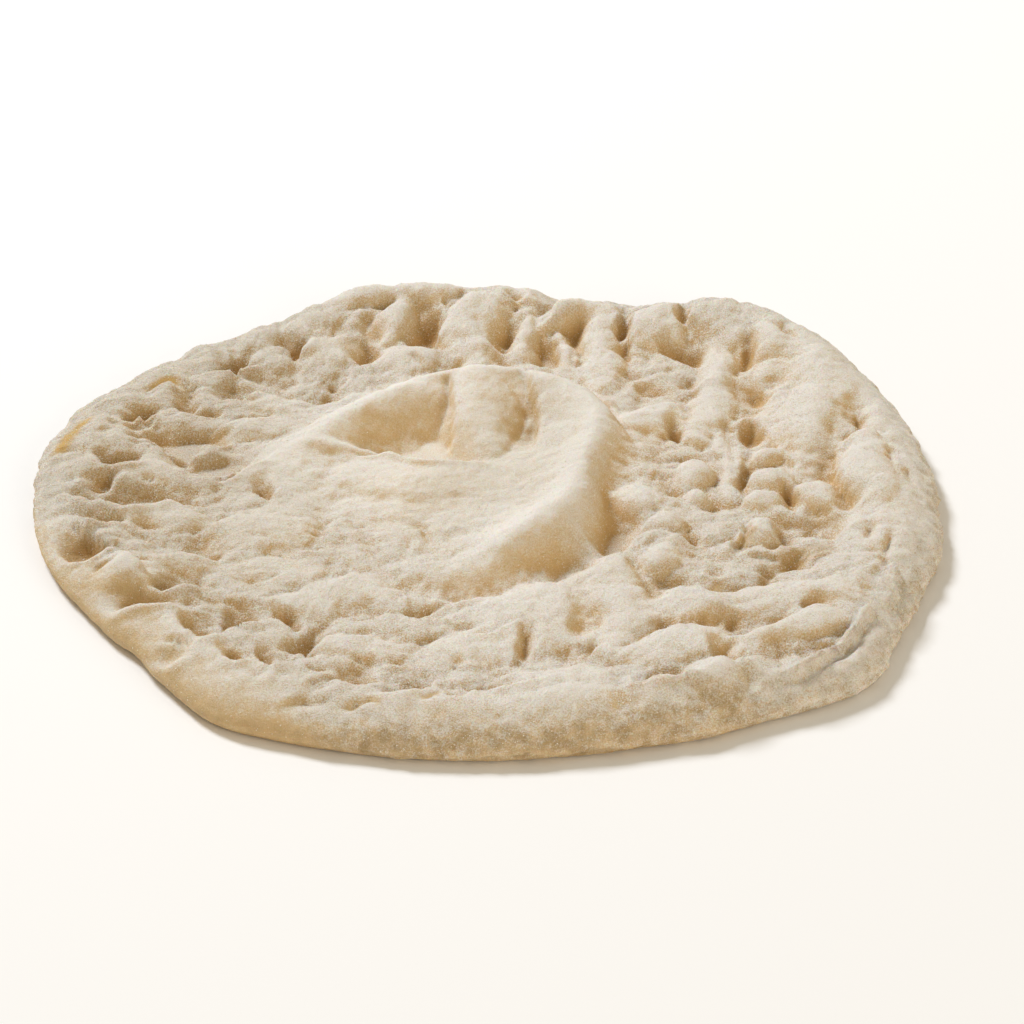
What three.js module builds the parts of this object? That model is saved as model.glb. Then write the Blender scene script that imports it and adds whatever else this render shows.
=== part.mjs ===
// A round raw pizza base, pressed out by hand: a thin floor, a puffier rim, a raised ring of dough
// in the middle and finger hollows all over. One closed solid, flat underneath. Millimetres, +Z up.
import * as THREE from 'three';

// Edge radius and rim height, one value every 15 degrees, counter-clockwise from +X
const EDGE_RADII = [159.5, 162, 167, 175, 170, 155, 160.5, 164.5, 159, 159.5, 163, 166,
  161, 157.5, 153.5, 155.5, 161.5, 160, 158, 158.5, 161.5, 168, 161.5, 158.5];
const RIM_HEIGHTS = [15, 15.5, 17, 18, 17.5, 14.5, 17.5, 18, 14.5, 13.2, 12.4, 12.2,
  11.5, 12, 12.5, 13, 13.5, 13.5, 13.5, 14, 14.5, 14.5, 15, 15];

// Bulges and dents of the edge: angle, half width in degrees, rise of the edge, rise of the rim
const EDGE_BULGES = [
  [55.5, 5, 2.5, 2], [66, 4.5, -3.6, -0.8], [73, 4, 1.2, 0.5], [84, 5, 1.5, 1], [97, 6, -2, -1], [115, 5, 3, 0.3],
  [135, 4, 2.4, 0], [146, 4, 1.5, 0], [155, 4, 2.8, 0], [208, 12, -0.8, 0], [220, 4, -2.2, 0], [237, 6, 2.4, 0],
  [270, 8, 0.8, 0], [296, 6, 1.5, 0], [318, 6, 3, 0], [347, 6, 2.2, 0],
];

const FLOOR_HEIGHT = 8.5;      // dough inside the rim
const LEAST_HEIGHT = 3;        // thinnest dough at the bottom of a hollow
const RIM_PLACE = 0.89;        // where the rim reaches full height, as a share of the edge radius
const RIM_SPREAD = 0.11;       // how far it slopes inwards, as the same share
const EDGE_ROUND = 17;         // width of the shoulder above the widest line
const EDGE_SLOPE = 1.25;       // 1 is an even round shoulder, more makes it a slope
const EDGE_UNDER = 4;          // width of the rounding below the widest line
const BELLY_HEIGHT = 4;        // height of the widest line

// Soft pillows between the finger marks, in cells that are wider than deep
const PILLOW_SIZE = 19;
const PILLOW_DEPTH_SHARE = 0.8;
const PILLOW_HEIGHT = 2.2;
const PILLOW_BLEND = 0.025;    // softness of the valleys
const PILLOW_VALLEY = 0.35;    // how far down a cell's border counts as the bottom of a valley
const PILLOW_MID = 0.45;
const PILLOW_TALLER = 0.25;
const PILLOW_JITTER = 0.75;
const RIM_CALM = { share: 0.7, from: 0.92, to: 0.98, front: [40, 110] };
const RING_CALM = { share: 0.85, reach: 15 };
const LUMP_CALM = 0.75;

// Slow wander that keeps the marks from being true ovals
const WANDER = 1.6;
const WANDER_SIZE = 37;
const MARKS_FRONT = 3;         // the marks below lie this far to the front of where they are measured

// Shape of one finger hollow
const HOLLOW_GROW = { width: 1.2, back: 1.25, front: 1.15, depth: 1.15 };
const HOLLOW_NARROWING = 0.35;
const HOLLOW_LEAN = 0.5;       // how far the deepest place lies to the front, as a share of the depth
const HOLLOW_LEAST = 3;        // least reach to the front
const HOLLOW_FALL = [1.2, 1.9];
const LIP_SHARE = 0.25;
const LIP_PLACE = 1.25;
const LIP_SPREAD = 0.35;

const LUMP_TALLER = 1.15;
const LUMP_FALL = 0.95;
const RIDGE_END = { length: 0.12, height: 0.25 };
const FOLD_END = 0.25;
const DIVE_FALL = 1.4;         // how dough that dives under a fold falls toward it; 2 is an even round
const LINE_STEPS = 6;

// Seeds of the fixed draws
const DRAW_STEPS = [127.1, 311.7, 74.7];
const DRAW_SPREAD = 43758.5453;

// Mesh: cells across the disc, how many of the outermost rings go round the edge, and of these below its widest line
const CELLS = 74;
const EDGE_RINGS = 6;
const UNDER_RINGS = 2;

const DOUGH_COLOUR = 0xd6c4a4;
const DOUGH_ROUGHNESS = 0.9;

// Finger hollows: deepest place x, y, half width, reach to the back, reach to the front, depth, turn
const HOLLOWS_BACK_LEFT = [
  [-96, 96, 8, 12, 5, 5, 15], [-93, 76, 7, 9, 4, 3, 10], [-113, 67, 5, 8, 3, 3, 20], [-126, 60, 4, 6, 4, 3, 0],
  [-133, 58, 6, 5, 3, 1.8, 0], [-131, 52, 9, 4, 3, 2, 0], [-121, 44, 7, 8, 4, 3, 0], [-110, 42, 9, 11, 8, 5, 0],
  [-100, 47, 9, 7, 5, 3.5, 0], [-133, 25, 9, 9, 5, 4, -10], [-108, 26, 9, 8, 6, 3, 0], [-95, 25, 12, 11, 6, 4, 0],
  [-79, 5, 4, 8, 5, 3, 0], [-76, 113, 8, 9, 6, 4.5, 0], [-60, 78, 9, 11, 8, 3.5, 0],
];
const HOLLOWS_LEFT = [
  [-137, 13, 6, 8, 7, 3, 0], [-139, 1, 9, 9, 8, 4, 0], [-126, -1, 12, 12, 9, 5, 0], [-110, 3, 13, 9, 6, 3.5, 0],
  [-135, -20, 8, 6, 5, 3, 0], [-139, -37, 7, 11, 6, 6, 30], [-98, -30, 11, 10, 9, 3.5, 0],
  [-115, -28, 9, 6, 5, 1.5, 0], [-104, -58, 8, 10, 7, 5, 0], [-116, -72, 12, 9, 7, 5.5, 0],
];
const HOLLOWS_FRONT_LEFT = [
  [-97, -86, 7, 9, 8, 4, 0], [-84, -81, 6, 11, 9, 4, 0], [-92, -94, 6, 8, 7, 4, 0], [-60, -97, 7, 6, 6, 3, 0],
  [-83, -111, 3.5, 6, 6, 3, 15], [-71, -109, 3, 10, 10, 3, 0], [-104, -104, 4, 9, 9, 3, 70],
  [-43, -121, 7, 9, 6, 3.5, 0], [-27, -124, 9, 11, 9, 3.5, 0], [-67, -80, 3, 8, 7, 3, 30], [-20, -76, 10, 5, 4, 2, 0],
];
const HOLLOWS_BACK = [
  [-44, 124, 6, 8, 7, 3.5, 0], [-49, 109, 7, 8, 8, 3, 0], [-24, 124, 7, 17, 6, 5, 0], [4, 117, 4, 16, 5, 2.5, -8],
  [10, 146, 3.5, 6, 4, 4, 0], [25, 146, 10, 8, 6, 4, 0], [33, 123, 4.5, 14, 13, 3.5, -25], [20, 110, 6, 13, 10, 3, 0],
  [51, 126, 3, 12, 8, 4, 0], [74, 130, 2.5, 10, 6, 4, 0], [71, 107, 4, 11, 11, 2, 65], [62, 82, 6, 5, 4, 2.5, 0],
  [76, 87, 6, 6, 4, 3, 0], [97, 100, 3, 16, 9, 3, 0], [107, 80, 3.5, 9, 6, 2.6, -25], [100, 72, 4, 7, 5, 2.6, 0],
  [114, 112, 3, 9, 6, 3, 0],
];
const HOLLOWS_RING = [[-30, 35, 26, 28, 8, 7.5, -10], [45, -14, 8, 38, 24, 4, 0]];
const HOLLOWS_RIGHT = [
  [69, 50, 3, 8, 8, 4, 0], [97, 47, 5, 7, 6, 2.6, 0], [92, 15, 2.8, 15, 13, 4.5, 0], [105, -26, 5, 9, 5, 4.5, 0],
  [91, -24, 3, 5, 4, 3, 0], [118, -21, 8, 9, 6, 4.5, 0], [126, -6, 5, 7, 5, 2.5, 0], [121, 22, 6, 14, 12, 1.2, -10],
  [135, 56, 7, 16, 14, 3, 0], [104, -46, 5, 5, 4, 2.5, 0], [76, -50, 4, 5, 4, 3, 0], [77, -61, 10, 6, 5, 2.5, 0],
];
const HOLLOWS_FRONT = [
  [-8, -63, 8, 8, 6, 4.2, 0], [31, -82, 5, 15, 15, 3.4, 0], [13, -97, 3, 12, 12, 2.4, 0], [58, -124, 12, 8, 4, 6.8, 0],
  [78, -108, 5, 11, 9, 5, 0], [89, -110, 9, 9, 9, 3, 0], [81, -83, 11, 6, 5, 3, 0], [108, -81, 4.5, 5, 3, 3, 0],
  [104, -107, 9, 15, 15, 3.5, -55], [5, -142, 4, 6, 6, 1.2, 0], [5, -125, 11, 5, 4, 3, 10],
];
const HOLLOWS = [
  ...HOLLOWS_BACK_LEFT, ...HOLLOWS_LEFT, ...HOLLOWS_FRONT_LEFT, ...HOLLOWS_BACK,
  ...HOLLOWS_RING, ...HOLLOWS_RIGHT, ...HOLLOWS_FRONT,
];

// Puffed places: x, y, half length, half width, turn of the length from +X, height
const LUMPS_RING = [[-26, 13, 32, 15, 0, 2.2], [-3, 53, 15, 26, 0, 5.5]];
const LUMPS_LEFT = [
  [-78, -24, 22, 16, 0, 3.5], [-122, -57, 13, 10, 0, 3], [-60, 108, 14, 10, 0, 3], [-118, 18, 14, 7, 0, 2],
  [-88, 50, 18, 8, 8, 2.5], [-112, -14, 18, 7, 0, 2], [-105, -45, 14, 6, 0, 1.5], [-72, -50, 18, 8, 0, 2],
  [-62, -70, 14, 8, 0, 2], [-45, -62, 18, 8, 0, 2], [-42, -100, 16, 8, 0, 2.5], [-78, 66, 14, 10, 0, 2],
];
const LUMPS_BACK = [
  [42, 108, 9, 27, 0, 4], [29, 111, 5.5, 12, 0, 3.5], [30, 132, 20, 8, 25, 3.5], [-33, 105, 13, 12, 0, 4],
  [-6, 121, 13, 24, 0, 5], [-38, 126, 17, 7, 69, 3], [-50, 145, 15, 9, 5, 2.5], [-24, 148, 14, 8, 0, 2.5],
  [17, 147, 16, 8, 0, 2], [65, 121, 12, 14, 0, 4], [85, 87, 8.5, 25, 0, 4], [104, 105, 7, 12, 0, 3],
  [15, 120, 6, 14, 0, 3], [114, 51, 13, 24, 0, 4],
];
const LUMPS_RIGHT = [
  [52, -2, 9, 10, 0, 4], [62, -21, 9, 7, 0, 3.5], [58, -46, 8, 9, 0, 4.5], [74, 17, 7, 9, 0, 3.5],
  [74, 0, 6.5, 6, 0, 3], [77, 43, 6, 7, 0, 3], [95, -25, 8.5, 11, 0, 4.5], [117, 1, 10.5, 11, 0, 3.8],
  [99, 27, 8, 7, 0, 4], [102, 10, 10, 7, 0, 4], [96, -3, 7, 6, 0, 3], [86, 30, 4.5, 30, 0, 1.5],
  [60, 56, 14, 13, 10, 4], [80, 63, 9, 17, 0, 3], [134, 8, 11, 27, 0, 4], [105, 66, 7, 30, 0, 2.5],
];
const LUMPS_FRONT = [
  [18, -80, 25, 24, 20, 3.5], [45, -74, 14, 32, -10, 3], [69, -74, 17, 12, 0, 4.8], [102, -72, 25, 12, 0, 4.6],
  [66, -102, 22, 13, 5, 5.4], [71, -125, 12, 10, 0, 3.8], [100, -94, 20, 8, 20, 3.4], [20, -125, 22, 12, 0, 2],
  [-5, -100, 14, 12, 0, 2],
];
const LUMPS = [...LUMPS_RING, ...LUMPS_LEFT, ...LUMPS_BACK, ...LUMPS_RIGHT, ...LUMPS_FRONT];

// Raised and sunken bands: the line they follow, height, half width on its left and on its right, and how the right
// side falls, where 2 is an even round and less is a slope that starts at the crest
const RING = {
  height: 12, left: 11, right: 15, rightFall: 1.5,
  line: [[-75, 22], [-61, 34], [-45, 51], [-33, 62], [-18, 69], [-2, 74], [15, 69], [30, 60], [38, 45], [38, 28],
    [34, 10], [31, -5], [27, -20], [18, -32], [10, -44], [2, -53], [-6, -62]],
};
const RING_VALLEY = {
  height: -4.2, left: 8, right: 8, rightFall: 2, line: [[45, -10], [42, -35], [31, -48], [14, -54], [3, -62], [-6, -69]],
};
const ARCH = {
  height: 3.5, left: 8, right: 7, rightFall: 2, line: [[36, -65], [42, -49], [50, -37], [60, -32], [70, -36]],
};
const STRAND = {
  height: 2.5, left: 2.2, right: 2.2, rightFall: 2,
  line: [[95, -125], [101, -122], [109, -115], [116, -107], [122, -97], [126, -89], [128, -84]],
};
const FRONT_TUCK = { height: 2, left: 4, right: 4, rightFall: 2, line: [[-98, -111], [-104, -115], [-112, -113]] };
const RIGHT_LOBE = {
  height: 2.5, left: 9, right: 8, rightFall: 2, line: [[125, 100], [120, 66], [117, 35], [113, 15]],
};
const RIDGES = [RING, RING_VALLEY, ARCH, STRAND, FRONT_TUCK, RIGHT_LOBE];

// Folds where dough lies over dough: the line, rise and reach on its left and on its right, half width of the step
const PLEATS = [
  { line: [[-15, 75], [-14, 66], [-13, 50], [-15, 30]], left: [-0.5, 8], right: [-5.5, 15], step: 2.2 },
  { line: [[13, 77], [15, 66], [18, 48], [16, 26]], left: [1, 11], right: [-4.5, 12], step: 2.2 },
];
const LOBE_EDGES = [
  { line: [[127, 33], [124, 18], [124, 5], [126, -5], [129, -14]], left: [1.9, 9], right: [-0.9, 6], step: 1.8 },
  { line: [[126, 29], [132, 34], [138, 34], [143, 30]], left: [-1.8, 10], right: [0.8, 6], step: 1.8 },
];
const RIGHT_FLAP = {
  line: [[130, -62], [138, -57], [139, -65], [138, -72], [135, -79], [133, -87]], left: [-4, 6], right: [2.5, 6], step: 1.8,
};
const RIGHT_TUCK = {
  line: [[87, -17], [89, -26], [87, -34], [84, -40], [85, -45]], left: [-2, 4], right: [1.6, 5], step: 1.8,
};
const BACK_TUCKS = [
  { line: [[-19, 135], [-20, 120], [-20, 108]], left: [1.5, 6], right: [-2.5, 6], step: 1.8 },
  { line: [[55, 132], [54, 118], [53, 108], [55, 95]], left: [1.5, 6], right: [-2.5, 5], step: 1.8 },
  { line: [[76, 134], [76, 125], [76, 116]], left: [1.5, 6], right: [-2, 4], step: 1.8 },
];
const LEFT_TUCKS = [
  { line: [[-145, -20], [-140, -30], [-134, -37], [-130, -41], [-128, -43]], left: [2.5, 5], right: [-3.5, 9], step: 1.8 },
  { line: [[-128, -43], [-122, -51], [-118, -57], [-114, -62]], left: [-2.5, 6], right: [2, 6], step: 1.8 },
];
const FOLDS = [...PLEATS, ...LOBE_EDGES, RIGHT_FLAP, RIGHT_TUCK, ...BACK_TUCKS, ...LEFT_TUCKS];

// Smoother places: x, y, half length, half width, turn, share of the pillows taken away
const CALM_PLACES = [
  [-14, 28, 56, 58, 0, 0.9], [18, -30, 26, 30, 0, 0.6], [140, 20, 30, 70, 0, 0.5],
  [128, 80, 30, 40, 40, 0.6], [112, 46, 18, 34, 0, 0.6], [20, -152, 120, 14, 0, 0.7],
];

const { clamp, smoothstep, degToRad, euclideanModulo } = THREE.MathUtils;

// Smooth curve through four neighbouring values, between the middle two
function between(a, b, c, d, f) {
  return b + 0.5 * f * (c - a + f * (2 * a - 5 * b + 4 * c - d + f * (3 * (b - c) + d - a)));
}

// Value of a ring of equally spaced values at an angle
function around(values, angle) {
  const count = values.length;
  const place = euclideanModulo(angle / (2 * Math.PI), 1) * count;
  const first = Math.floor(place);
  const at = (step) => values[(first + step + count) % count];
  return between(at(-1), at(0), at(1), at(2), place - first);
}

// Sums of the edge's bulges at an angle: of the edge radius and of the rim height
function edgeBulges(angle) {
  const sums = { edge: 0, rim: 0 };
  for (const [middle, halfWidth, edge, rim] of EDGE_BULGES) {
    const off = euclideanModulo(THREE.MathUtils.radToDeg(angle) - middle + 180, 360) - 180;
    const share = Math.exp(-((off / halfWidth) ** 2));
    sums.edge += edge * share;
    sums.rim += rim * share;
  }
  return sums;
}

// Finer line through the places of a band or fold
function smoothLine(places) {
  const last = places.length - 1;
  const at = (i) => {
    if (i < 0) return [2 * places[0][0] - places[1][0], 2 * places[0][1] - places[1][1]];
    if (i > last) return [2 * places[last][0] - places[last - 1][0], 2 * places[last][1] - places[last - 1][1]];
    return places[i];
  };
  const line = [];
  for (let i = 0; i < last; i += 1) {
    for (let step = 0; step < LINE_STEPS; step += 1) {
      const f = step / LINE_STEPS;
      line.push([0, 1].map((k) => between(at(i - 1)[k], at(i)[k], at(i + 1)[k], at(i + 2)[k], f)));
    }
  }
  line.push(places[last]);
  return line;
}

// Distance to a line, the side of it (left is 1, right is -1) and the share of its length passed
function beside(x, y, line) {
  let nearest = Infinity;
  let side = 0;
  let passed = 0;
  const count = line.length - 1;
  for (let k = 0; k < count; k += 1) {
    const [ax, ay] = line[k];
    const ux = line[k + 1][0] - ax;
    const uy = line[k + 1][1] - ay;
    const length = Math.hypot(ux, uy);
    const f = clamp(((x - ax) * ux + (y - ay) * uy) / length ** 2, 0, 1);
    const ex = x - ax - f * ux;
    const ey = y - ay - f * uy;
    const distance = Math.hypot(ex, ey);
    if (distance < nearest) {
      nearest = distance;
      side = (ux * ey - uy * ex) / length / Math.max(distance, 1e-9);
      passed = (k + f) / count;
    }
  }
  return { nearest, side, passed, fromEnd: Math.min(passed, 1 - passed) };
}

// A fixed draw between 0 and 1 for a cell's column, row and use
function draw(column, row, use) {
  const value = Math.sin(column * DRAW_STEPS[0] + row * DRAW_STEPS[1] + use * DRAW_STEPS[2]) * DRAW_SPREAD;
  return value - Math.floor(value);
}

// Place seen from a mark's own centre and turn
function turned(x, y, centreX, centreY, turn) {
  const [c, s] = [Math.cos(degToRad(turn)), Math.sin(degToRad(turn))];
  return [(x - centreX) * c + (y - centreY) * s, -(x - centreX) * s + (y - centreY) * c];
}

function wandered(x, y) {
  const [a, b] = [x, y].map((place) => (place / WANDER_SIZE) * 2 * Math.PI);
  return [x + WANDER * Math.sin(b + Math.sin(a)), y + WANDER * Math.sin(a + Math.sin(b))];
}

function hollowDepth(x, y, [centreX, centreY, halfWidth, back, front, depth, turn]) {
  const lean = HOLLOW_LEAN * depth;
  const [across, fromCentre] = turned(x, y, centreX, centreY, turn);
  const along = fromCentre + lean;
  const backReach = back * HOLLOW_GROW.back + lean;
  const frontReach = Math.max(front * HOLLOW_GROW.front - lean, HOLLOW_LEAST);
  const width = halfWidth * HOLLOW_GROW.width * (1 + HOLLOW_NARROWING * clamp(along / backReach, -1, 1));
  const far = (across / width) ** 2 + (along / (along > 0 ? backReach : frontReach)) ** 2;
  const reach = Math.sqrt(far);
  const towardFront = clamp(-along / frontReach / Math.max(reach, 1e-6), 0, 1);
  const lip = LIP_SHARE * depth * towardFront * Math.exp(-(((reach - LIP_PLACE) / LIP_SPREAD) ** 2));
  return lip - HOLLOW_GROW.depth * depth * Math.exp(-HOLLOW_FALL[0] * far - HOLLOW_FALL[1] * far * far);
}

// How far up a puffed place's dome a point is, from 0 at its foot to 1 on top
function lumpShare(x, y, [centreX, centreY, halfLength, halfWidth, turn]) {
  const [a, b] = turned(x, y, centreX, centreY, turn);
  return Math.max(1 - (a / halfLength) ** 2 - (b / halfWidth) ** 2, 0) ** LUMP_FALL;
}

function ridgeHeight(x, y, ridge) {
  const { nearest, side, fromEnd } = beside(x, y, ridge.smooth);
  const share = 0.5 + 0.5 * side;
  const width = ridge.right + (ridge.left - ridge.right) * share;
  const fall = ridge.rightFall + (2 - ridge.rightFall) * share;
  const fade = smoothstep(fromEnd, 0, RIDGE_END.length);
  return ridge.height * Math.exp(-((nearest / width) ** fall)) * (RIDGE_END.height + (1 - RIDGE_END.height) * fade);
}

function foldHeight(x, y, fold) {
  const { nearest, side, fromEnd } = beside(x, y, fold.smooth);
  const [left, right] = [fold.left, fold.right].map(
    ([rise, reach]) => rise * Math.exp(-((nearest / reach) ** (rise < 0 ? DIVE_FALL : 2))),
  );
  const across = smoothstep(side * nearest, -fold.step, fold.step);
  return (right + (left - right) * across) * smoothstep(fromEnd, 0, FOLD_END);
}

// Domes with sharp valleys between them, round one drawn centre in each cell
function pillowHeight(x, y) {
  const gx = x / PILLOW_SIZE;
  const gy = y / (PILLOW_SIZE * PILLOW_DEPTH_SHARE);
  let closeness = 0;
  for (let di = -1; di <= 1; di += 1) {
    for (let dj = -1; dj <= 1; dj += 1) {
      const column = Math.floor(gx) + di;
      const row = Math.floor(gy) + dj;
      const px = column + 0.5 + PILLOW_JITTER * (draw(column, row, 0) - 0.5);
      const py = row + 0.5 + PILLOW_JITTER * (draw(column, row, 1) - 0.5);
      const taller = PILLOW_TALLER * (draw(column, row, 2) - 0.5);
      closeness += Math.exp((taller - (gx - px) ** 2 - (gy - py) ** 2) / PILLOW_BLEND);
    }
  }
  return PILLOW_HEIGHT * (PILLOW_MID + PILLOW_BLEND * Math.log(closeness) / PILLOW_VALLEY);
}

// Share of the pillows' height that is left at a place
function roughness(x, y, rimShare) {
  let rough = 1;
  for (const [cx, cy, halfLength, halfWidth, turn, share] of CALM_PLACES) {
    const [a, b] = turned(x, y + MARKS_FRONT, cx, cy, turn);
    rough *= 1 - share * Math.exp(-(((a / halfLength) ** 2 + (b / halfWidth) ** 2) ** 2));
  }
  rough *= 1 - RING_CALM.share * Math.exp(-((beside(x, y, RING.smooth).nearest / RING_CALM.reach) ** 2));
  const atRim = smoothstep(rimShare, RIM_CALM.from, RIM_CALM.to) * smoothstep(-y, ...RIM_CALM.front);
  return rough * (1 - RIM_CALM.share * atRim);
}

function relief(x, y, rimShare) {
  const [wx, wy] = wandered(x, y + MARKS_FRONT);
  let domes = 0;
  let cover = 0;
  for (const lump of LUMPS) {
    const share = lumpShare(wx, wy, lump);
    domes = Math.max(domes, LUMP_TALLER * share * lump[5]);
    cover = Math.max(cover, share);
  }
  let height = domes + roughness(x, y, rimShare) * (1 - LUMP_CALM * Math.sqrt(cover)) * pillowHeight(wx, wy);
  for (const hollow of HOLLOWS) height += hollowDepth(wx, wy, hollow);
  for (const ridge of RIDGES) height += ridgeHeight(x, y, ridge);
  for (const fold of FOLDS) height += foldHeight(x, y, fold);
  return height;
}

// Point of the skin at a ring of the mesh and an angle: over the top, then round the edge to the underside
function skinPoint(ring, angle) {
  const bulges = edgeBulges(angle);
  const edge = around(EDGE_RADII, angle) + bulges.edge;
  const shoulder = edge - EDGE_ROUND;
  const topRings = CELLS / 2 - EDGE_RINGS;
  const upperRings = EDGE_RINGS - UNDER_RINGS;
  const over = clamp((ring - topRings) / upperRings, 0, 1) * Math.PI / 2;
  const under = clamp((ring - topRings - upperRings) / UNDER_RINGS, 0, 1) * Math.PI / 2;
  const radius = shoulder * Math.min(ring / topRings, 1)
    + EDGE_ROUND * Math.sin(over) ** EDGE_SLOPE - EDGE_UNDER * (1 - Math.cos(under));
  const [x, y] = [radius * Math.cos(angle), radius * Math.sin(angle)];
  const share = radius / edge;
  const inward = Math.min((share - RIM_PLACE) / RIM_SPREAD, 0);
  const rim = (around(RIM_HEIGHTS, angle) + bulges.rim - FLOOR_HEIGHT) * Math.exp(-inward * inward);
  const top = Math.max(FLOOR_HEIGHT + rim + relief(x, y, share), LEAST_HEIGHT);
  const z = BELLY_HEIGHT * (1 - Math.sin(under)) + (top - BELLY_HEIGHT) * Math.max(Math.cos(over), 0) ** EDGE_SLOPE;
  return new THREE.Vector3(x, y, z);
}

// Ring and angle of a cell corner: square rings of the grid become round rings of the disc
function ringAndAngle(column, row) {
  const a = column - CELLS / 2;
  const b = row - CELLS / 2;
  const ring = Math.max(Math.abs(a), Math.abs(b));
  if (ring === 0) return [0, 0];
  if (Math.abs(a) >= Math.abs(b)) return [ring, (Math.PI / 4) * (b / a) + (a < 0 ? Math.PI : 0)];
  return [ring, Math.PI / 2 - (Math.PI / 4) * (a / b) + (b < 0 ? Math.PI : 0)];
}

function doughGeometry() {
  const points = [];
  const faces = [];
  const corner = (column, row) => row * (CELLS + 1) + column;
  for (let row = 0; row <= CELLS; row += 1) {
    for (let column = 0; column <= CELLS; column += 1) {
      points.push(skinPoint(...ringAndAngle(column, row)));
    }
  }
  for (let row = 0; row < CELLS; row += 1) {
    for (let column = 0; column < CELLS; column += 1) {
      const [a, b] = [corner(column, row), corner(column + 1, row)];
      const [d, c] = [corner(column, row + 1), corner(column + 1, row + 1)];
      const rising = (column < CELLS / 2) === (row < CELLS / 2);
      if (rising) faces.push(a, b, c, a, c, d);
      else faces.push(a, b, d, b, c, d);
    }
  }
  const border = [];
  for (let k = 0; k < CELLS; k += 1) border.push(corner(k, 0));
  for (let k = 0; k < CELLS; k += 1) border.push(corner(CELLS, k));
  for (let k = CELLS; k > 0; k -= 1) border.push(corner(k, CELLS));
  for (let k = CELLS; k > 0; k -= 1) border.push(corner(0, k));
  const underside = points.length;
  points.push(new THREE.Vector3(0, 0, 0));
  border.forEach((from, k) => faces.push(border[(k + 1) % border.length], from, underside));
  const geometry = new THREE.BufferGeometry().setFromPoints(points);
  geometry.setIndex(faces);
  geometry.computeVertexNormals();
  const middle = new THREE.Box3().setFromBufferAttribute(geometry.attributes.position).getCenter(new THREE.Vector3());
  geometry.translate(-middle.x, -middle.y, 0);
  return geometry;
}

for (const mark of [...RIDGES, ...FOLDS]) mark.smooth = smoothLine(mark.line);

const dough = new THREE.Mesh(
  doughGeometry(),
  new THREE.MeshStandardMaterial({ color: DOUGH_COLOUR, roughness: DOUGH_ROUGHNESS, metalness: 0 }),
);
dough.name = 'pizza_base';

const part = new THREE.Group();
part.name = 'raw_pizza_base';
part.add(dough);

export default part;
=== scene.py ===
import math

import bmesh
import bpy
import numpy as np
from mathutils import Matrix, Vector


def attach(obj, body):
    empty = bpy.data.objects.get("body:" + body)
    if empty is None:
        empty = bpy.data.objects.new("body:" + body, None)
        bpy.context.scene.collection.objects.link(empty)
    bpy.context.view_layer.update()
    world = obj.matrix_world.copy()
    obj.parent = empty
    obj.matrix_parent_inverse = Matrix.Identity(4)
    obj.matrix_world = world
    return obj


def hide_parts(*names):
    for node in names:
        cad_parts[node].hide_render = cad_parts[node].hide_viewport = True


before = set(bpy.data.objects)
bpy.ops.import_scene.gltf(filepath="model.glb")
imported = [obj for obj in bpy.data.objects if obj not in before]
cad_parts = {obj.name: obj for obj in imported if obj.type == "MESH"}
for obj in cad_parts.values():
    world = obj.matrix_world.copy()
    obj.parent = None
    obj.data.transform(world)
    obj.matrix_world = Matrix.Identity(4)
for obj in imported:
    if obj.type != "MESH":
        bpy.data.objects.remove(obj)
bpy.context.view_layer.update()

# Sizes are in mm unless a comment says otherwise
MM = 0.001
TINY, FAR = 1e-9, 1e9          # keep divisions and searches for the nearest place safe

# Edge radius and rim height, one value every 15 degrees, counter-clockwise from +X
EDGE_RADII = np.array([159.5, 162, 167, 175, 170, 155, 160.5, 164.5, 159, 159.5, 163, 166,
                       161, 157.5, 153.5, 155.5, 161.5, 160, 158, 158.5, 161.5, 168, 161.5, 158.5])
RIM_HEIGHTS = np.array([15, 15.5, 17, 18, 17.5, 14.5, 17.5, 18, 14.5, 13.2, 12.4, 12.2,
                        11.5, 12, 12.5, 13, 13.5, 13.5, 13.5, 14, 14.5, 14.5, 15, 15])
MIDDLE = np.array([-1.43, 0.76])       # middle of the outline's box, which is the frame's origin

# Section from the floor over the rim to the underside
FLOOR_HEIGHT = 8.5
LEAST_HEIGHT = 3.0             # least thickness under a hollow
RIM_PLACE = 0.89               # where the rim is highest, as a share of the edge radius
RIM_SPREAD = 0.11              # how far in from there the rim reaches, as a share too
EDGE_ROUND = 17.0              # width of the shoulder
EDGE_SLOPE = 1.25              # 1 is an even round shoulder, more makes it a slope
EDGE_UNDER = 4.0               # how far the edge turns in under the belly
BELLY_HEIGHT = 4.0             # height of the widest line

# Bulges and dents of the edge: angle, half width in degrees, rise of the edge, rise of the rim
EDGE_BULGES = [
    (55.5, 5, 2.5, 2.0), (66, 4.5, -3.6, -0.8), (73, 4, 1.2, 0.5), (84, 5, 1.5, 1.0), (97, 6, -2.0, -1.0),
    (115, 5, 3.0, 0.3), (135, 4, 2.4, 0), (146, 4, 1.5, 0), (155, 4, 2.8, 0), (208, 12, -0.8, 0),
    (220, 4, -2.2, 0), (237, 6, 2.4, 0), (270, 8, 0.8, 0), (296, 6, 1.5, 0), (318, 6, 3.0, 0),
    (347, 6, 2.2, 0),
]
EDGE_RISE, RIM_RISE = 2, 3     # columns of a bulge

# Wrinkles of the rim's face: size, height
FACE_WRINKLES = ((14.0, 1.0), (5.0, 0.7), (2.4, 0.4))
FACE_STRETCH = 20.0            # length of the face for each radian that it turns

# Grid of the skin
CELLS = 306
EDGE_RINGS = 24                # rings of cells outside the top
UNDER_RINGS = 6                # of them, those below the widest line
SIDE = CELLS + 1

# First number of each use of the fixed draws
PILLOW_DRAWS, KNOB_DRAWS, WRINKLE_DRAWS, RAGGED_DRAWS, FACE_DRAWS = 0, 5, 11, 21, 31
DRAW_MIX, DRAW_SPREAD = (127.1, 311.7, 74.7), 43758.5453

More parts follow.
